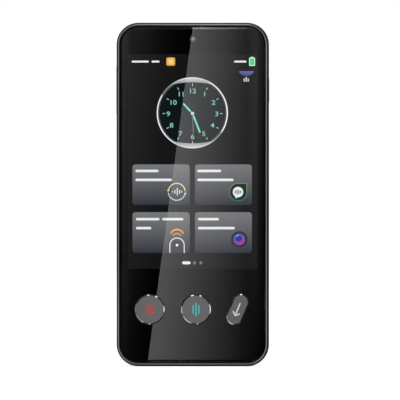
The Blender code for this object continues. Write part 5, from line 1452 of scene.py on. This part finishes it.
def background_rays(tree):
    """1 for rays that should see the white background, and 0 for the rest."""
    rays = node(tree, "ShaderNodeLightPath")
    both = math_node(tree, "MAXIMUM", rays.outputs["Is Camera Ray"], rays.outputs["Is Glossy Ray"])
    return math_node(tree, "MAXIMUM", both, rays.outputs["Is Transmission Ray"])


# How brightly the floor shines for the rays that see the white background
FLOOR_GLOW = 0.72


def build_floor(paint):
    clear_selection()
    bpy.ops.mesh.primitive_plane_add(size=16.0)
    floor = named("floor")
    made, tree = stage_material("pale_floor")
    where = node(tree, "ShaderNodeTexCoord")
    mottle = node(tree, "ShaderNodeTexNoise", {"Scale": 3.0, "Detail": 2.0})
    tree.links.new(where.outputs["Object"], mottle.inputs["Vector"])
    tone = node(tree, "ShaderNodeHueSaturation", {"Color": opaque(paint.floor)})
    tree.links.new(spread_about(tree, 1.0, mottle.outputs["Fac"], 0.02), tone.inputs["Value"])
    matt = node(tree, "ShaderNodeBsdfDiffuse")
    tree.links.new(tone.outputs[0], matt.inputs["Color"])
    glow = node(tree, "ShaderNodeEmission", {"Color": (1, 1, 1, 1)})
    tree.links.new(math_node(tree, "MULTIPLY", background_rays(tree), FLOOR_GLOW), glow.inputs["Strength"])
    both = node(tree, "ShaderNodeAddShader")
    tree.links.new(matt.outputs[0], both.inputs[0])
    tree.links.new(glow.outputs[0], both.inputs[1])
    out = node(tree, "ShaderNodeOutputMaterial")
    tree.links.new(both.outputs[0], out.inputs[0])
    floor.data.materials.append(made)


def build_world(stage):
    world = bpy.data.worlds.new("studio")
    bpy.context.scene.world = world
    world.use_nodes = True
    tree = world.node_tree
    tree.nodes.clear()
    even = node(tree, "ShaderNodeBackground", {"Color": (1, 1, 1, 1), "Strength": stage.ambient})
    white = node(tree, "ShaderNodeBackground", {"Color": (1, 1, 1, 1), "Strength": 1.0})
    mix = node(tree, "ShaderNodeMixShader")
    tree.links.new(background_rays(tree), mix.inputs[0])
    tree.links.new(even.outputs[0], mix.inputs[1])
    tree.links.new(white.outputs[0], mix.inputs[2])
    out = node(tree, "ShaderNodeOutputWorld")
    tree.links.new(mix.outputs[0], out.inputs[0])


TENT_FRONT = -70 * MM
TENT_BACK = -6.8 * MM
TENT_HALF = 33.5 * MM
TENT_TOP = 300 * MM
TENT_FLOOR = 0.05 * MM
WALL_SKIN = 0.1 * MM
# Heights between which the tent lights the bevels from above, and how brightly
STRIP = (178 * MM, 214 * MM, 2.6)
# The slanted light in the glass, as it lies on the glass
SLANT_TOP = (0.0, 136.6 * MM)
SLANT_SLOPE = 18.05 / 134.2
SLANT_END = 28.7 * MM
SLANT_BOTTOM = 2.6 * MM
SLANT_LEVEL = 1.06
SLANT_POWER = (1.5, -0.35)
GLINT_START = 135.65 * MM
GLINT_GAIN = 2.8
GLINT_LEVEL = 0.12
FAINT_START = -29.3 * MM
FAINT_EDGE = -28.5 * MM
FAINT_TOP = 25 * MM
FAINT_BOTTOM = 10.9 * MM
FAINT_LEVEL = (0.05, 0.17)
FAINT_POWER = 1.4
# Faint lights along both sides of the glass: middle and half width in millimetres, and level
SIDE_LIGHTS = ((25.6, 3.5, 0.25), (-27.3, 2.0, 0.16))
# Soft lights that the cut edges of the keys catch: face of the tent, middle and half width in y and
# in z in millimetres, and level
KEY_LIGHTS = (("right", (-19.5, 7.5), (23, 12), 1.6), ("left", (-18, 9), (17, 18), 1.0),
              ("right", (-44, 10), (128, 26), 3.0), ("left", (-47, 10), (142, 22), 3.0),
              ("below", (-14, 6), None, 1.0))


def fading(tree, distance, width, power):
    """1 at the start, and falling to nothing at the width."""
    share = math_node(tree, "SUBTRACT", 1.0, math_node(tree, "DIVIDE", distance, width), clamp=True)
    return math_node(tree, "POWER", share, power)


def from_middle(tree, value, middle):
    """How far a value lies from a place given in millimetres."""
    return math_node(tree, "ABSOLUTE", math_node(tree, "SUBTRACT", value, middle * MM))


def within(tree, value, low, high, level):
    """The level between two places, and nothing outside them."""
    inside = math_node(tree, "COMPARE", value, (low + high) / 2, (high - low) / 2)
    return math_node(tree, "MULTIPLY", inside, level)


def build_tent(stage):
    """A dark tunnel before the glass that only mirrors see, with the soft lights that lie in the glass."""
    tent = block("reflection_tent", (-TENT_HALF, TENT_HALF), (TENT_FRONT, TENT_BACK), (TENT_FLOOR, TENT_TOP))
    with editing(tent):
        pick(tent, lambda face: face.normal.y > 0.9)
        bpy.ops.mesh.delete(type="FACE")
        bpy.ops.mesh.select_mode(type="EDGE")
        pick(tent, lambda edge: at(1, TENT_BACK)(edge) and at(2, TENT_FLOOR)(edge), "edges")
        bpy.ops.mesh.extrude_region_move(TRANSFORM_OT_translate={"value": (0, 0.9 * MM, 0)})
    made, tree = stage_material("tent_light")
    where = node(tree, "ShaderNodeTexCoord")
    parts = node(tree, "ShaderNodeSeparateXYZ")
    tree.links.new(where.outputs["Object"], parts.inputs[0])
    # Where on the glass the front view sees this place of the tent
    nearness = math_node(tree, "MULTIPLY_ADD", parts.outputs["Y"], -1 / stage.distance,
                         1 + GLASS_LOW.y / stage.distance)
    seen = []
    for axis, centre in (("X", stage.camera_x), ("Z", stage.camera_z)):
        away = math_node(tree, "DIVIDE", math_node(tree, "SUBTRACT", parts.outputs[axis], centre), nearness)
        seen.append(math_node(tree, "ADD", away, centre))
    x, z = seen
    edge = math_node(tree, "MULTIPLY_ADD", math_node(tree, "SUBTRACT", z, SLANT_TOP[1]), SLANT_SLOPE,
                     SLANT_TOP[0])
    past = math_node(tree, "SUBTRACT", x, edge)
    height = math_node(tree, "DIVIDE", z, BODY_HEIGHT, clamp=True)
    power = math_node(tree, "MULTIPLY_ADD", height, SLANT_POWER[1], SLANT_POWER[0])
    slant = fading(tree, past, math_node(tree, "SUBTRACT", SLANT_END, edge), power)
    slant = math_node(tree, "MULTIPLY", slant, math_node(tree, "GREATER_THAN", past, 0.0))
    slant = math_node(tree, "MULTIPLY", slant, math_node(tree, "GREATER_THAN", z, SLANT_BOTTOM))
    above = math_node(tree, "GREATER_THAN", z, GLINT_START)
    gain = math_node(tree, "MULTIPLY_ADD", above, GLINT_GAIN, SLANT_LEVEL)
    slant = math_node(tree, "MULTIPLY", slant, gain)
    slant = math_node(tree, "MULTIPLY_ADD", above, GLINT_LEVEL, slant)
    reach = math_node(tree, "MULTIPLY_ADD", height, FAINT_TOP - FAINT_BOTTOM, FAINT_BOTTOM)
    faint = fading(tree, math_node(tree, "SUBTRACT", x, FAINT_START), reach, FAINT_POWER)
    faint_level = math_node(tree, "MULTIPLY_ADD", height, FAINT_LEVEL[1], FAINT_LEVEL[0])
    faint = math_node(tree, "MULTIPLY", faint, faint_level)
    faint = math_node(tree, "MULTIPLY", faint, math_node(tree, "GREATER_THAN", x, FAINT_EDGE))
    on_front = math_node(tree, "LESS_THAN", math_node(tree, "ABSOLUTE", parts.outputs["X"]),
                         TENT_HALF - WALL_SKIN)
    glow = math_node(tree, "ADD", slant, faint)
    for middle, half, level in SIDE_LIGHTS:
        share = math_node(tree, "MULTIPLY", height, level)
        side = fading(tree, from_middle(tree, x, middle), half * MM, 0.7)
        glow = math_node(tree, "MULTIPLY_ADD", side, share, glow)
    glow = math_node(tree, "MULTIPLY", glow, on_front)
    glow = math_node(tree, "ADD", glow, within(tree, parts.outputs["Z"], *STRIP))
    faces = {"right": math_node(tree, "GREATER_THAN", parts.outputs["X"], TENT_HALF - WALL_SKIN),
             "left": math_node(tree, "LESS_THAN", parts.outputs["X"], WALL_SKIN - TENT_HALF),
             "below": math_node(tree, "LESS_THAN", parts.outputs["Z"], TENT_FLOOR + WALL_SKIN)}
    for face, y, z, level in KEY_LIGHTS:
        spot = fading(tree, from_middle(tree, parts.outputs["Y"], y[0]), y[1] * MM, 0.5)
        if z:
            tall = fading(tree, from_middle(tree, parts.outputs["Z"], z[0]), z[1] * MM, 0.4)
            spot = math_node(tree, "MULTIPLY", spot, tall)
        spot = math_node(tree, "MULTIPLY", spot, faces[face])
        glow = math_node(tree, "MULTIPLY_ADD", spot, level, glow)
    # The left wall lights up towards the front, which the glass shows from the side
    rise = node(tree, "ShaderNodeMapRange", {"From Min": -35 * MM, "From Max": TENT_FRONT, "To Max": 0.6},
                interpolation_type="SMOOTHSTEP")
    tree.links.new(parts.outputs["Y"], rise.inputs["Value"])
    total = math_node(tree, "MULTIPLY_ADD", faces["left"], rise.outputs[0], glow)
    light = node(tree, "ShaderNodeEmission", {"Color": (1.0, 0.985, 0.99, 1)})
    tree.links.new(total, light.inputs["Strength"])
    out = node(tree, "ShaderNodeOutputMaterial")
    tree.links.new(light.outputs[0], out.inputs[0])
    tent.data.materials.append(made)
    tent.visible_camera = False
    tent.visible_diffuse = False
    tent.visible_shadow = False
    tent.visible_volume_scatter = False


def add_lamp(name, place, target, size, power):
    clear_selection()
    bpy.ops.object.light_add(type="AREA", location=place)
    lamp = bpy.context.object
    lamp.name = name
    lamp.data.shape = "RECTANGLE"
    lamp.data.size, lamp.data.size_y = size
    lamp.data.energy = power
    lamp.rotation_euler = (Vector(target) - Vector(place)).to_track_quat("-Z", "Y").to_euler()


def build_stage(scene):
    stage = scene.translator_stage
    build_world(stage)
    build_floor(scene.translator_colours)
    build_tent(stage)
    middle = (0.0, 0.0, 0.07)
    add_lamp("key_lamp", (-0.75, -0.85, 0.75), middle, (1.0, 1.0), stage.key_power)
    add_lamp("fill_lamp", (0.85, -0.70, 0.45), middle, (0.8, 0.8), stage.fill_power)
    add_lamp("back_lamp", (0.30, 0.95, 0.80), middle, (1.0, 0.8), stage.fill_power)
    bpy.ops.object.camera_add(
        location=(stage.camera_x, GLASS_LOW.y - stage.distance, stage.camera_z), rotation=(QUARTER, 0.0, 0.0)
    )
    camera = bpy.context.object
    camera.name = "front_view"
    camera.data.lens = stage.lens
    camera.data.sensor_width = 36.0
    camera.data.clip_start = 0.01
    camera.data.clip_end = 50.0
    scene.camera = camera
    scene.view_settings.view_transform = "Standard"


# Add-on


class TranslatorOperator:
    """What the operators share: each calls its builders with the scene's sizes."""

    bl_options = {"REGISTER"}
    builders = ()

    def execute(self, context):
        for build in self.builders:
            build(context.scene.translator_sizes)
        return {"FINISHED"}


class TRANSLATOR_OT_finishes(bpy.types.Operator):
    """Make every finish and dress the CAD model's inner pieces"""

    bl_idname = "translator.finishes"
    bl_label = "Finishes"
    bl_options = {"REGISTER"}

    def execute(self, context):
        make_finishes()
        dress_inner_nodes()
        return {"FINISHED"}


class TRANSLATOR_OT_frame(TranslatorOperator, bpy.types.Operator):
    """Model the side frame with its ridged rim and openings"""

    bl_idname = "translator.frame"
    bl_label = "Side frame"
    builders = (build_frame,)


class TRANSLATOR_OT_glass(TranslatorOperator, bpy.types.Operator):
    """Model the front glass and the black print behind it"""

    bl_idname = "translator.glass"
    bl_label = "Front glass"
    builders = (build_glass,)


class TRANSLATOR_OT_front_keys(TranslatorOperator, bpy.types.Operator):
    """Model the three keys under the screen and their marks"""

    bl_idname = "translator.front_keys"
    bl_label = "Front keys"
    builders = (build_front_keys,)


class TRANSLATOR_OT_side_keys(TranslatorOperator, bpy.types.Operator):
    """Model the power key and the volume rocker"""

    bl_idname = "translator.side_keys"
    bl_label = "Side keys"
    builders = (build_side_keys,)


class TRANSLATOR_OT_cover(TranslatorOperator, bpy.types.Operator):
    """Model the rear cover with its lip, camera hole and speaker slots"""

    bl_idname = "translator.cover"
    bl_label = "Rear cover"
    builders = (build_cover,)


class TRANSLATOR_OT_cameras(TranslatorOperator, bpy.types.Operator):
    """Model both cameras and the flash"""

    bl_idname = "translator.cameras"
    bl_label = "Cameras and flash"
    builders = (build_rear_camera, build_flash, build_front_camera)


class TRANSLATOR_OT_socket(TranslatorOperator, bpy.types.Operator):
    """Model the charging socket and its contacts"""

    bl_idname = "translator.socket"
    bl_label = "Charging socket"
    builders = (build_socket,)


class TRANSLATOR_OT_picture(TranslatorOperator, bpy.types.Operator):
    """Lay out the lit picture on the screen"""

    bl_idname = "translator.picture"
    bl_label = "Screen picture"
    builders = (build_ground, build_clock, build_tiles, build_status, build_icons)


class TRANSLATOR_OT_stage(bpy.types.Operator):
    """Set up the floor, the lamps, what the glass mirrors, and the camera"""

    bl_idname = "translator.stage"
    bl_label = "Stage"
    bl_options = {"REGISTER"}

    def execute(self, context):
        build_stage(context.scene)
        return {"FINISHED"}


OPERATORS = (
    TRANSLATOR_OT_finishes,
    TRANSLATOR_OT_frame,
    TRANSLATOR_OT_glass,
    TRANSLATOR_OT_front_keys,
    TRANSLATOR_OT_side_keys,
    TRANSLATOR_OT_cover,
    TRANSLATOR_OT_cameras,
    TRANSLATOR_OT_socket,
    TRANSLATOR_OT_picture,
    TRANSLATOR_OT_stage,
)


class TRANSLATOR_PT_panel(bpy.types.Panel):
    """The translator's sizes, colours and builders"""

    bl_idname = "TRANSLATOR_PT_panel"
    bl_label = "Handheld translator"
    bl_space_type = "VIEW_3D"
    bl_region_type = "UI"
    bl_category = "Translator"

    def draw(self, context):
        layout = self.layout
        for name in ("translator_sizes", "translator_colours", "translator_stage"):
            group = getattr(context.scene, name)
            box = layout.box()
            for key in group.__annotations__:
                box.prop(group, key)
        for operator in OPERATORS:
            layout.operator(operator.bl_idname)


CLASSES = (TranslatorSizes, TranslatorColours, TranslatorStage) + OPERATORS + (TRANSLATOR_PT_panel,)


def register():
    for each in CLASSES:
        bpy.utils.register_class(each)
    bpy.types.Scene.translator_sizes = PointerProperty(type=TranslatorSizes)
    bpy.types.Scene.translator_colours = PointerProperty(type=TranslatorColours)
    bpy.types.Scene.translator_stage = PointerProperty(type=TranslatorStage)


def unregister():
    del bpy.types.Scene.translator_stage
    del bpy.types.Scene.translator_colours
    del bpy.types.Scene.translator_sizes
    for each in reversed(CLASSES):
        bpy.utils.unregister_class(each)


def main():
    register()
    for operator in OPERATORS:
        group, name = operator.bl_idname.split(".")
        getattr(getattr(bpy.ops, group), name)()
    clear_selection()


if __name__ == "__main__":
    main()
